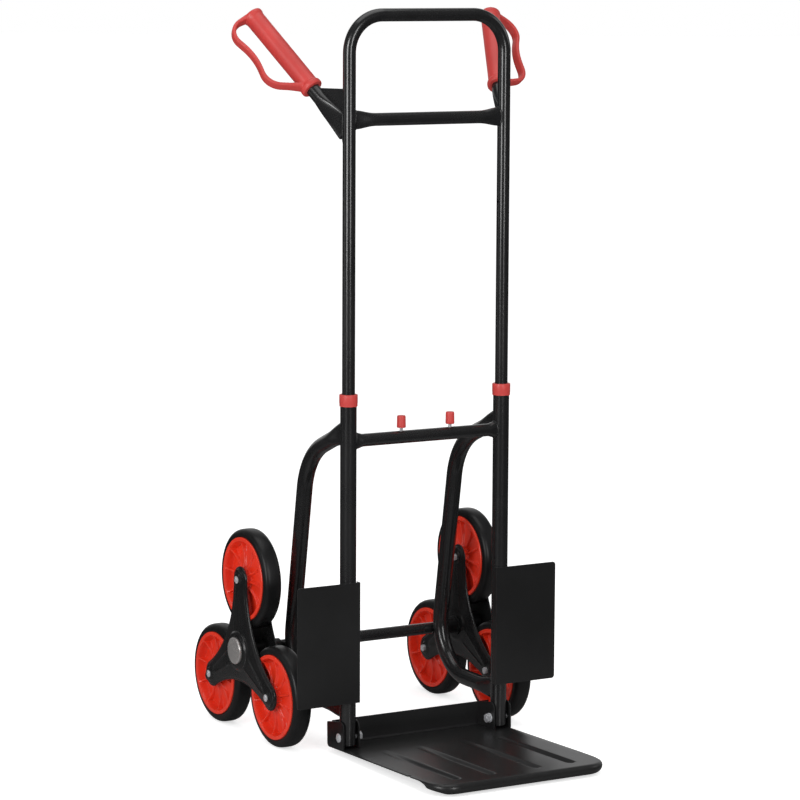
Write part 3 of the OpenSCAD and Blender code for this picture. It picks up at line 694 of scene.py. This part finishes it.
def build_gussets():
    """A pressed triangle between the sliding tube and the stem, with a level top edge."""
    top_z, low_z, thick = 1034.0, 975.0, 2.5
    base = INNER_R + 0.1
    d, n = stem_plane()
    axis = np.array([UPRIGHT_X, 0, 0])
    reach = (top_z - STEM_ROOT[2]) / STEM_DIR[2] * math.hypot(STEM_DIR[0], STEM_DIR[1])
    outline = round_path([(base, low_z), (reach - 8, top_z - 9), (reach - 2, top_z), (base, top_z)],
                         [1.5, 1, 1, 1.0], closed=True, step=20)
    verts, faces = prism(outline, (-thick / 2, thick / 2), lambda p, h: axis + d * p[0] + n * h + (0, 0, p[1]))
    for side in (LEFT, RIGHT):
        obj = add_mesh(f"gusset_{NAMES[side]}", verts, faces, side)
        bevel(obj, 0.5)
        finish_piece(obj, "handle", "black_paint", replaces=[f"stem_gusset_{NAMES[side]}"])
        seam = [(axis + d * (base + 0.7) + n * 1.6 + (0, 0, z)) * (side, 1, 1) for z in (low_z + 22, top_z - 6)]
        weld_strip(f"weld_gusset_{NAMES[side]}", seam, "handle", 1.3, 5.0)


def build_grips():
    w = STEM_DIR
    e, f = strap_plane()
    foot = STEM_TIP - GRIP_LEN * w
    body = [(0, 0.4), (15.4, 0.4), (16.9, 1.0), (17.5, 2.6), (17.5, 7.2), (16.9, 8.8), (15.6, 10.2), (15.0, 12.5),
            (15.0, 30), (15.2, 80), (15.2, 132), (15.3, 152), (15.8, 154.6), (16.6, 156), (16.7, 159.5),
            (16.0, 161.6), (13.5, 162.7), (8, 163), (0, 163)]
    curve = resample(round_path(STRAP_CORNERS, STRAP_BENDS, step=3), 104)
    path = np.array([foot + e * d + w * s for d, s in curve])
    count = len(path)

    def section(i):
        t = i / (count - 1)
        wide = 7.6 + 1.8 * (smoothstep(0.14, 0.0, t) + smoothstep(0.88, 1.0, t))
        thick = 3.3 + 1.0 * (smoothstep(0.14, 0.0, t) + smoothstep(0.9, 1.0, t))
        return oval(float(wide), float(thick), 3.8, 28)

    for side in (LEFT, RIGHT):
        v, fc = lathe(body, foot, w, 72)
        core = add_mesh("core", v, fc)
        v, fc = sweep(path, f, section)
        strap = add_mesh("strap", v, fc)
        solid = join(f"grip_moulding_{NAMES[side]}", [core, strap])
        mod = solid.modifiers.new("Merge", "REMESH")
        mod.mode = "VOXEL"
        mod.voxel_size = 0.85 * MM
        mod.use_smooth_shade = True
        smooth = solid.modifiers.new("Smooth", "SMOOTH")
        smooth.factor = 0.5
        smooth.iterations = 5
        bpy.context.view_layer.update()
        apply_modifiers(solid)
        if side == LEFT:
            solid.data.transform(Matrix.Scale(-1, 4, (1, 0, 0)))
            solid.data.flip_normals()
        solid.data.polygons.foreach_set("use_smooth", [True] * len(solid.data.polygons))
        finish_piece(solid, "handle", "grip_red", replaces=[f"grip_{NAMES[side]}"])


# ------------------------------------------------------------------ toe plate

def toe_point(x, y, z):
    """From the toe plate's own frame, with its origin on the hinge line, to the model frame."""
    c, s = math.cos(-TOE_SLOPE), math.sin(-TOE_SLOPE)
    return np.array([x, y * c - z * s, y * s + z * c + HINGE_Z])


TOE = {"half": 153.5, "reach": 303.0, "corner": 38.0, "drop": 17.5, "sheet": 2.0, "rear": 38.0, "flange": 20.0}
GROOVES = [-102.0, -40.0, 40.0, 102.0]
GROOVE_FRONT = 264.0
GROOVE_DEPTH = 4.8
NOSE_GAP = 4.0


def toe_height(x, y):
    """Depth of the pressed channels at a point of the deck."""
    near = min(math.hypot(x - gx, max(-y - GROOVE_FRONT, 0.0)) for gx in GROOVES)
    return GROOVE_DEPTH * (1 - float(smoothstep(1.8, 9.2, near))) * float(smoothstep(38, 170, -y)) ** 0.8


def build_toe_deck():
    inset, edge = 10.0, 112.0
    half, reach, corner = TOE["half"] - inset, TOE["reach"] - inset, TOE["corner"] - inset
    rear_r = 4.0
    rear = TOE["rear"] - rear_r
    top = -TOE["drop"]
    rows = [rear, 30, 24, 16, 8, 0] + list(np.arange(-6, -reach + corner, -4.0)) + [-reach + corner]
    rows += [-reach + corner - corner * math.sin(a) for a in np.linspace(0, math.pi / 2, 15)[1:]]
    base = set(np.linspace(-1, 1, 77))
    fine = [g + k for g in GROOVES for k in np.arange(-11, 11.1, 1.1)]
    cols_at_full = sorted(base | {round(x / half, 6) for x in fine})
    cols = [c for i, c in enumerate(cols_at_full) if i == 0 or c - cols_at_full[i - 1] > 0.004]
    cols[-1] = 1.0
    verts, index = [], {}
    for i, y in enumerate(rows):
        over = max(-y - (reach - corner), 0)
        w = half - corner + math.sqrt(max(corner ** 2 - over ** 2, 0))
        for j, c in enumerate(cols):
            # Keep the channels straight: only the margins outside them narrow with the corner.
            x = c * half
            if abs(x) > edge and w < half:
                x = math.copysign(edge + (abs(x) - edge) * (max(w, edge + 2) - edge) / (half - edge), x)
            elif w < edge:
                x = x * w / edge
            index[i, j] = len(verts)
            verts.append((x, y, top - toe_height(x, y)))
    nr, nc = len(rows), len(cols)
    faces = [(index[i, j], index[i, j + 1], index[i + 1, j + 1], index[i + 1, j])
             for i in range(nr - 1) for j in range(nc - 1)]
    # The rim runs from the rear left corner, round the front, to the rear right corner.
    rim = [index[i, 0] for i in range(nr)] + [index[nr - 1, j] for j in range(1, nc)]
    rim += [index[i, nc - 1] for i in range(nr - 2, -1, -1)]
    pts = np.array([verts[k] for k in rim])
    d = np.gradient(pts[:, :2], axis=0)
    d /= np.maximum(np.linalg.norm(d, axis=1), 1e-9)[:, None]
    normal = np.stack([d[:, 1], -d[:, 0]], 1)
    normal[np.sum(normal * (pts[:, :2] - (0.0, -120.0)), 1) < 0] *= -1
    for k in range(len(rim)):
        if pts[k, 1] > -reach + corner + 1:
            normal[k] = (math.copysign(1, pts[k, 0]), 0)
    # How far the edge is turned down: nothing at the back, a little at the sides, and a full nose in front that
    # stops NOSE_GAP above the floor.
    depths = []
    for p in pts:
        full = (HINGE_Z + (TOE["reach"] - 10) * math.sin(TOE_SLOPE)) / math.cos(TOE_SLOPE) + top - NOSE_GAP
        start = reach - corner
        side_drop = float(np.interp(-p[1], [215, 250, 261, 266], [0.1, 2.2, 4.6, 8.2]))
        turn = math.asin(float(np.clip((-p[1] - start) / corner, 0, 1)))
        depths.append(side_drop + (full - side_drop) * float(smoothstep(0, math.radians(62), turn)))
    previous = rim
    stages = [("bend", t) for t in np.linspace(0, 1, 8)] + [("drop", t) for t in np.linspace(0, 1, 8)[1:]]
    for kind, t in stages:
        ring = []
        for k, p in enumerate(pts):
            depth = depths[k]
            r = min(8.0, 0.5 * depth + 0.02)
            if kind == "bend":
                a = t * math.pi / 2
                out = inset - r + r * math.sin(a)
                down = r * (1 - math.cos(a))
            else:
                b = math.pi / 2 + t * math.radians(68)
                curl = 11.0 * float(smoothstep(8, 15, depth))
                out = inset - curl * (1 - math.sin(b))
                down = r + (depth - r) * -math.cos(b) / math.sin(math.radians(68))
            x, y = p[0] + normal[k, 0] * out, p[1] + normal[k, 1] * out
            ring.append(len(verts))
            verts.append((x, y, p[2] - down))
        for k in range(len(rim) - 1):
            faces.append((previous[k], previous[k + 1], ring[k + 1], ring[k]))
        previous = ring
    # The back flange turns up behind the uprights.
    back = [index[0, j] for j in range(nc)]
    xs = [verts[k][0] for k in back]
    previous = back
    levels = [(rear + rear_r * math.sin(a), top + rear_r * (1 - math.cos(a)))
              for a in np.linspace(0, math.pi / 2, 6)[1:]]
    for y, z in levels + [(rear + rear_r, 0.0), (rear + rear_r, TOE["flange"])]:
        ring = list(range(len(verts), len(verts) + nc))
        verts += [(x, y, z) for x in xs]
        faces += [(previous[k], ring[k], ring[k + 1], previous[k + 1]) for k in range(nc - 1)]
        previous = ring
    verts = [toe_point(*v) for v in verts]
    obj = add_mesh("toe_deck", verts, faces, sharp=50, closed=False)
    bm = bmesh.new()
    bm.from_mesh(obj.data)
    bmesh.ops.dissolve_degenerate(bm, edges=bm.edges, dist=2e-5)
    bmesh.ops.recalc_face_normals(bm, faces=bm.faces)
    up = sum(f.normal.z * f.calc_area() for f in bm.faces)
    if up < 0:
        bmesh.ops.reverse_faces(bm, faces=bm.faces)
    bm.to_mesh(obj.data)
    bm.free()
    shade(obj.data, 50)
    mod = obj.modifiers.new("Sheet", "SOLIDIFY")
    mod.thickness = TOE["sheet"] * MM
    mod.offset = -1
    mod.use_even_offset = True
    mod.use_quality_normals = True
    bevel(obj, 0.45, 2, angle=60)
    finish_piece(obj, "toe", "plate_paint", replaces=["toe_plate"])


def build_toe_ears():
    """Four ears that carry the hinge bolts, bent up from the plate and joined to the back flange."""
    rear, flange, low = TOE["rear"] - 0.1, TOE["flange"], -TOE["drop"] - TOE["sheet"]
    bolt_hole, size = 4.1, 40

    def ear(name, x0, x1, front):
        outline = round_path([(rear, low), (rear, flange), (-front, flange + 8), (-front, low)], [6, 3, 11, 5],
                             closed=True, step=10)
        turn = [2 * math.pi * k / size for k in range(size)]
        hole = [(bolt_hole * math.cos(t), bolt_hole * math.sin(t)) for t in turn]
        bm = bmesh.new()
        loops = []
        for pts in (outline, hole):
            vs = [bm.verts.new(Vector((0, p[0], p[1]))) for p in pts]
            loops += [bm.edges.new((vs[k], vs[(k + 1) % len(vs)])) for k in range(len(vs))]
        bmesh.ops.triangle_fill(bm, edges=loops, use_beauty=True)
        bm.verts.index_update()
        flat = [tuple(v.co) for v in bm.verts]
        cap = [tuple(v.index for v in f.verts) for f in bm.faces]
        edges = [[v.index for v in e.verts] for e in bm.edges if len(e.link_faces) == 1]
        bm.free()
        m = len(flat)
        verts = [toe_point(x, v[1], v[2]) for x in (x0, x1) for v in flat]
        faces = cap + [tuple(m + k for k in f)[::-1] for f in cap] + [(a, b, m + b, m + a) for a, b in edges]
        obj = add_mesh(name, verts, faces, sharp=30)
        bevel(obj, 0.4, 2, angle=50)
        finish_piece(obj, "toe", "plate_paint")

    for side in (LEFT, RIGHT):
        for label, out, front in (("outer", 1, 14), ("inner", -1, 12)):
            near = UPRIGHT_X + out * (OUTER_R + 0.8)
            ear(f"toe_ear_{label}_{NAMES[side]}", side * near, side * (near + out * TOE["sheet"]), front)


# ------------------------------------------------------------------ stars

def star_edge():
    """The star plate's outline: three round tips joined by arcs, one arm along +X."""
    tip, waist = 21.0, 51.0
    drop = waist - tip
    at = (STAR_R ** 2 - drop ** 2) / (STAR_R - 2 * drop)
    big = at - waist
    c = at * np.array([math.cos(math.radians(60)), math.sin(math.radians(60))])
    touch = np.array([STAR_R, 0]) + tip * unit(c - np.array([STAR_R, 0]))
    tip_to = math.atan2(touch[1], touch[0] - STAR_R)
    arm = [(STAR_R + tip * math.cos(a), tip * math.sin(a)) for a in np.linspace(0, tip_to, 16)]
    a0 = math.atan2(touch[1] - c[1], touch[0] - c[0]) % (2 * math.pi)
    a1 = math.atan2(-c[1], -c[0]) % (2 * math.pi)
    arm += [(c[0] + big * math.cos(a), c[1] + big * math.sin(a)) for a in np.linspace(a0, a1, 18)[1:]]
    half = np.array(arm)
    # Mirrored about the bisector at 60 degrees, it runs on to just before the next tip.
    b = math.radians(120)
    mirror = np.array([[math.cos(b), math.sin(b)], [math.sin(b), -math.cos(b)]])
    third = np.vstack([half, (half[-2:0:-1] @ mirror.T)])
    out = []
    for k in range(3):
        t = math.radians(120 * k)
        rot = np.array([[math.cos(t), -math.sin(t)], [math.sin(t), math.cos(t)]])
        out.append(third @ rot.T)
    return np.vstack(out)


def edge_distance(points, outline):
    """How far each point lies from a closed outline."""
    best = np.full(len(points), 1e9)
    for a, ab in zip(outline, np.roll(outline, -1, 0) - outline):
        ap = points - a
        t = np.clip((ap @ ab) / (ab @ ab), 0, 1)
        best = np.minimum(best, np.linalg.norm(ap - t[:, None] * ab, axis=1))
    return best


def star_relief(pts, dist, thick, boss):
    """Height of a star plate's moulded face: a flat-topped crest along each arm falls away to the edges."""
    r = np.linalg.norm(pts, axis=1)
    angle = np.degrees(np.arctan2(pts[:, 1], pts[:, 0]))
    off = (angle + 60) % 120 - 60
    lat = np.abs(r * np.sin(np.radians(off)))
    lon = r * np.cos(np.radians(off))
    border = thick * 0.42
    width = np.interp(lon, [20, 104], [12.5, 3.6])
    past = np.maximum(lat - width, 0)
    rise = dist / np.maximum(dist + past, 1e-6)
    h = border + (thick - 0.9 - border) * np.minimum(rise, 1) ** 0.85
    # a fine bead runs along both edges of the crest
    bead = np.exp(-((lat - width) / 1.1) ** 2) * smoothstep(30, 38, lon) * (1 - smoothstep(96, 103, lon))
    h += 0.75 * bead
    # a flat border round the whole outline
    rim = smoothstep(3.0, 5.2, dist)
    h = border * (1 - rim) + h * rim
    # round seat for the bolt head
    seat = 1 - smoothstep(9.2, 11.0, np.hypot(lon - STAR_R, lat))
    h = h * (1 - seat) + thick * seat
    # hub boss
    hub = 1 - smoothstep(boss - 2, boss + 5, r)
    h = h * (1 - hub) + thick * hub
    # rounded outer edge
    edge_r = 2.4
    fall = np.where(dist < edge_r, edge_r - np.sqrt(np.maximum(edge_r ** 2 - (edge_r - dist) ** 2, 0)), 0)
    return np.minimum(h, thick) - fall


def star_plate(name, side, inner, thick):
    """One moulded plate with its first arm up. Its face looks away from the wheels, and its back is flat."""
    outline = star_edge()
    n, levels = len(outline), 64
    bore, boss = AXLE_R + 0.1, 24.0 if inner else 30.0
    reach = np.linalg.norm(outline, axis=1)
    direction = outline / reach[:, None]
    # Steps close up towards the edge along every ray, so that the rounded edge keeps its shape.
    steps = [1 - (1 - k / levels) ** 1.35 for k in range(levels + 1)]
    flat = np.vstack([direction * (bore + (reach - bore) * t)[:, None] for t in steps])
    dist = edge_distance(flat, outline)
    dist[-n:] = 0
    height = star_relief(flat, dist, thick, boss)
    out = -1 if inner else 1

    def put(p, h):
        return (WHEEL_X + out * (STAR_GAP + h), AXLE_Y - p[1], AXLE_Z + p[0])

    verts = [put(p, h) for p, h in zip(flat, height)]
    for level in (levels, levels - 6, levels // 2, 0):
        verts += [put(p, 0.0) for p in flat[level * n:(level + 1) * n]]
    return add_mesh(name, verts, band_faces(levels + 5, n, closed=True), side, sharp=38)


def build_stars():
    for side in (LEFT, RIGHT):
        s = NAMES[side]
        for label, inner, thick in (("outer", False, OUTER_STAR_T), ("inner", True, INNER_STAR_T)):
            plate = star_plate(f"star_{label}_plate_{s}", side, inner, thick)
            finish_piece(plate, f"star_{s}", "black_plastic", STAR, replaces=[f"star_{label}_{s}"])
        face_x = WHEEL_X + STAR_GAP + OUTER_STAR_T
        profile = [(22.6, -0.3), (31.5, -0.3), (30.0, 0.9), (28.9, 2.4), (27.6, 3.1), (23.6, 3.2), (22.6, 2.6)]
        v, f = ring_lathe(profile, (face_x, AXLE_Y, AXLE_Z), (1, 0, 0), 96)
        finish_piece(add_mesh(f"star_boss_{s}", v, f, side), f"star_{s}", "black_plastic", STAR)
        cap = [(0, 0.2), (20.6, 0.2), (21.2, 0.5), (21.4, 1.1), (21.35, 3.6), (21.0, 4.5), (20.2, 5.05),
               (18.8, 5.3), (12, 5.42), (0, 5.5)]
        v, f = lathe(cap, (face_x + 1.0, AXLE_Y, AXLE_Z), (1, 0, 0), 96)
        dome = add_mesh(f"hub_cap_{s}", v, f, side, sharp=40)
        finish_piece(dome, "frame", "chrome", replaces=["hub_caps"] if side == LEFT else None)


# ------------------------------------------------------------------ wheels

def rim_height(r, off):
    """Height of one face of the rim above its middle plane. off is the angle to the nearest rib, in radians."""
    web = 3.0 + 3.5 * smoothstep(56, 20, r)
    # The ribs have a dished top edge, a slight draft and a fillet into the web.
    top = 13.6 - 4.6 * np.sin(np.clip((r - 15) / 46, 0, 1) * math.pi) ** 0.9
    lateral = np.abs(r * np.sin(off))
    rib = 1 - smoothstep(0.9, 2.6, lateral)
    foot = 0.18 * (1 - smoothstep(1.5, 6.5, lateral))
    h = web + (top - web) * np.maximum(rib, foot)
    barrel = smoothstep(57.8, 61.5, r)
    h = h * (1 - barrel) + RIM_HALF * barrel
    hub = 1 - smoothstep(14.2, 16.6, r)
    return h * (1 - hub) + HUB_HALF * hub


def rim_mesh(turn):
    """Both faces of a rim with ten ribs, joined at the bore and under the tyre."""
    ribs = 10
    radii = [6.06, 6.5, 9, 12, 14.2, 14.8, 15.4, 16.0, 16.6, 18, 20, 23, 27, 31, 35, 39, 43, 47, 51, 54, 56, 57.8,
             58.5, 59.3, 60.1, 60.8, 61.5, 62.5, 64.5, 66.0, 66.7, RIM_R]
    lows = {6.06: -0.5, 66.7: -0.25, RIM_R: -1.0}
    near = [0.025, 0.045, 0.065, 0.09, 0.125, 0.18, 0.26, 0.36]
    offsets = [-0.5] + [-o for o in near[::-1]] + [0] + near
    off = np.array(offsets * ribs) * 2 * math.pi / ribs
    angles = np.array([(k + o) * 2 * math.pi / ribs for k in range(ribs) for o in offsets]) + turn
    verts = []
    for sign, order in ((1, radii), (-1, radii[::-1])):
        for r in order:
            h = rim_height(np.full(len(off), r), off) + lows.get(r, 0)
            verts += [(sign * x, r * math.cos(a), r * math.sin(a)) for x, a in zip(h, angles)]
    return verts, band_faces(2 * len(radii), len(off), closed=True)


def tyre_mesh():
    half, r, bore = 15.0, WHEEL_R, RIM_R + 0.08
    right = [(bore, half - 1.0), (bore + 0.8, half - 0.2), (bore + 2.2, half), (r - 8.2, half),
             (r - 6.4, half - 0.25), (r - 4.2, half - 1.1), (r - 2.4, half - 2.6), (r - 1.2, half - 4.4), (r - 0.5, half - 6.6),
             (r - 0.12, half - 9.5), (r, 0)]
    profile = right + [(a, -b) for a, b in right[-2::-1]]
    return ring_lathe(profile, (0, 0, 0), (1, 0, 0), 144)


def build_wheels():
    tyre_v, tyre_f = tyre_mesh()
    for side in (LEFT, RIGHT):
        for place, angle in WHEEL_ANGLES.items():
            y = AXLE_Y + STAR_R * math.cos(math.radians(angle))
            z = AXLE_Z + STAR_R * math.sin(math.radians(angle))
            turn = {"top": 0.12, "front": 0.35, "rear": 0.2}[place] + (0.07 if side == RIGHT else 0)
            rim_v, rim_f = rim_mesh(turn)
            offset = np.array([WHEEL_X, y, z])
            s = NAMES[side]
            rim = add_mesh(f"rim_moulding_{s}_{place}", np.array(rim_v) + offset, rim_f, side, sharp=45)
            finish_piece(rim, f"wheel_{s}_{place}", "rim_red", replaces=[f"rim_{s}_{place}"])
            tyre = add_mesh(f"tyre_tread_{s}_{place}", np.array(tyre_v) + offset, tyre_f, side, sharp=45)
            finish_piece(tyre, f"wheel_{s}_{place}", "tyre_black", replaces=[f"tyre_{s}_{place}"])


# ------------------------------------------------------------------ small welds

def build_weld_strips():
    for side in (LEFT, RIGHT):
        s = NAMES[side]
        # loops to axle
        for k, dx in enumerate((-1, 1)):
            x = side * (UPRIGHT_X + dx * 6.5)
            y = AXLE_Y - AXLE_R
            pts = [(x - 4, y - 0.3, AXLE_Z + 6.0 * dx), (x + 4, y - 0.3, AXLE_Z + 6.0 * dx)]
            weld_strip(f"weld_axle_{s}_{k}", pts, "frame", 2.2, seed=k)
        # guards to uprights
        for k, z in enumerate((262, 98)):
            pts = [(side * (UPRIGHT_X + 5.5), -12.2, z - 7), (side * (UPRIGHT_X + 5.5), -12.2, z + 7)]
            weld_strip(f"weld_guard_{s}_{k}", pts, "frame", 1.2, seed=z)


# ------------------------------------------------------------------ carried-over CAD nodes

def dress_cad():
    record_slot = {p["node"]: p["material_slot"] for p in frame["record"]["subparts"]}
    for name, obj in frame["nodes"].items():
        if obj.hide_render:
            continue
        slot = record_slot[name]
        obj.data.materials.clear()
        obj.data.materials.append(STAR if name.startswith("star_hub") else SLOTS[slot])
        weld = obj.modifiers.new("Weld", "WELD")
        weld.merge_threshold = 1e-5
        if not name.startswith("lock_spring"):
            width = 0.5 if name.startswith("wheel_guard") else 0.25
            bevel(obj, width, 2, angle=32)
            wn = obj.modifiers.new("Normals", "WEIGHTED_NORMAL")
            wn.keep_sharp = False
            wn.weight = 60


# ------------------------------------------------------------------ stage, light and camera

def build_stage():
    size, floor_z = 300.0, 0.0
    mesh = bpy.data.meshes.new("floor")
    half = size / 2
    corners = [(-half, -half), (half, -half), (half, half), (-half, half)]
    mesh.from_pydata([(x, y, floor_z) for x, y in corners],
                     [], [(0, 1, 2, 3)])
    floor = bpy.data.objects.new("floor", mesh)
    bpy.context.scene.collection.objects.link(floor)
    mat, nt, bsdf = nodes_of("pale_floor")
    path = nt.nodes.new("ShaderNodeLightPath")
    coord = nt.nodes.new("ShaderNodeTexCoord").outputs["Object"]
    cloud = noise(nt, coord, 0.6, 3)
    pale = mix_colour(nt, cloud, (0.80, 0.80, 0.80), (0.82, 0.82, 0.82))
    # Glossy paint sees a dark floor, as between flags in a studio, with a painted pool of light under the trolley
    # itself that shows only in reflections.
    away = nt.nodes.new("ShaderNodeVectorMath")
    away.operation = "LENGTH"
    link(nt, coord, away.inputs[0])
    near = nt.nodes.new("ShaderNodeCombineColor")
    for k in range(3):
        link(nt, remap(nt, away.outputs["Value"], 0.4, 0.8, 0.22, 0.035), near.inputs[k])
    link(nt, mix_colour(nt, path.outputs["Is Glossy Ray"], pale, near.outputs[0]), bsdf.inputs["Base Color"])
    bsdf.inputs["Roughness"].default_value = 0.7
    bsdf.inputs["Specular IOR Level"].default_value = 0.1
    bsdf.inputs["Emission Color"].default_value = (1, 1, 1, 1)
    link(nt, math_node(nt, "MULTIPLY", path.outputs["Is Camera Ray"], 0.62), bsdf.inputs["Emission Strength"])
    mesh.materials.append(mat)


def build_world():
    world = bpy.data.worlds.new("studio")
    bpy.context.scene.world = world
    world.use_nodes = True
    nt = world.node_tree
    background = nt.nodes["Background"]
    path = nt.nodes.new("ShaderNodeLightPath")
    coord = nt.nodes.new("ShaderNodeTexCoord")
    sep = nt.nodes.new("ShaderNodeSeparateXYZ")
    link(nt, coord.outputs["Generated"], sep.inputs[0])
    up = remap(nt, sep.outputs["Z"], -0.2, 0.9, 0.42, 0.62)
    dim = remap(nt, sep.outputs["Z"], -0.1, 0.9, 0.02, 0.10)
    # The white backdrop behind the trolley, mirrored by the toe plate.
    ahead = math_node(nt, "ADD", math_node(nt, "MULTIPLY", sep.outputs["X"], 0.503),
                      math_node(nt, "MULTIPLY", sep.outputs["Y"], 0.864))
    backdrop = math_node(nt, "MULTIPLY", remap(nt, ahead, 0.62, 0.92, 0, 0.62),
                         remap(nt, sep.outputs["Z"], -0.03, 0.02, 0, 1))
    dim = math_node(nt, "ADD", dim, backdrop)
    colours = []
    for value in (up, dim):
        grey = nt.nodes.new("ShaderNodeCombineColor")
        for k in range(3):
            link(nt, value, grey.inputs[k])
        colours.append(grey.outputs[0])
    # Mirror-like surfaces see a dark room with soft boxes, everything else a bright one.
    lit = mix_colour(nt, path.outputs["Is Glossy Ray"], colours[0], colours[1])
    seen = mix_colour(nt, path.outputs["Is Camera Ray"], lit, (1.0, 1.0, 1.0))
    link(nt, seen, background.inputs["Color"])
    background.inputs["Strength"].default_value = 1.0


def area_light(name, location, target, size, size_y, power):
    data = bpy.data.lights.new(name, "AREA")
    data.shape = "RECTANGLE"
    data.size = size
    data.size_y = size_y
    data.energy = power
    obj = bpy.data.objects.new(name, data)
    bpy.context.scene.collection.objects.link(obj)
    obj.location = location
    direction = Vector(target) - Vector(location)
    obj.rotation_euler = direction.to_track_quat("-Z", "Y").to_euler()


def build_lights():
    area_light("strip_left", (-2.72, -1.26, 1.45), (0, 0, 1.0), 0.95, 1.9, 42)
    area_light("strip_right", (-0.22, -2.99, 1.45), (0, 0, 1.0), 0.62, 1.9, 26)
    area_light("edge", (-2.6, 1.25, 0.9), (0, 0, 0.4), 0.5, 1.4, 2.2)
    area_light("fill", (3.0, -1.0, 2.0), (0, 0, 0.5), 1.4, 1.6, 8)
    area_light("top", (0.0, 0.1, 3.4), (0, 0, 0.3), 2.4, 2.4, 22)


def build_camera():
    cam = bpy.data.cameras.new("camera")
    cam.lens = 144.03
    cam.sensor_width = 36.0
    cam.clip_end = 50
    obj = bpy.data.objects.new("camera", cam)
    bpy.context.scene.collection.objects.link(obj)
    azimuth, elevation, roll = [math.radians(a) for a in (-30.2, 7.9, 0.28)]
    forward = np.array([math.cos(elevation) * -math.sin(azimuth), math.cos(elevation) * math.cos(azimuth),
                        -math.sin(elevation)])
    right = np.array([math.cos(azimuth), math.sin(azimuth), 0])
    up = np.cross(right, forward)
    r2 = right * math.cos(roll) + up * math.sin(roll)
    u2 = -right * math.sin(roll) + up * math.cos(roll)
    m = Matrix([[r2[i], u2[i], -forward[i]] for i in range(3)]).to_4x4()
    m.translation = Vector((-2.5164, -4.2436 + UPRIGHT_PLANE_Y, 1.2339))
    obj.matrix_world = m
    bpy.context.scene.camera = obj


# ------------------------------------------------------------------ assembly

build_handle()
crossbar("lower_crossbar", LOCK_Z, 12.8, 8.4, 14, OUTER_R, "frame", slots=True)
crossbar("upper_crossbar", UPPER_BAR_Z, 14.5, 6.8, 38, INNER_R, "handle")
build_collars()
build_knobs()
build_side_loops()
build_stems()
build_gussets()
build_grips()
build_toe_deck()
build_toe_ears()
build_stars()
build_wheels()
build_weld_strips()
dress_cad()
build_stage()
build_world()
build_lights()
build_camera()

bpy.context.scene.view_settings.view_transform = "Standard"
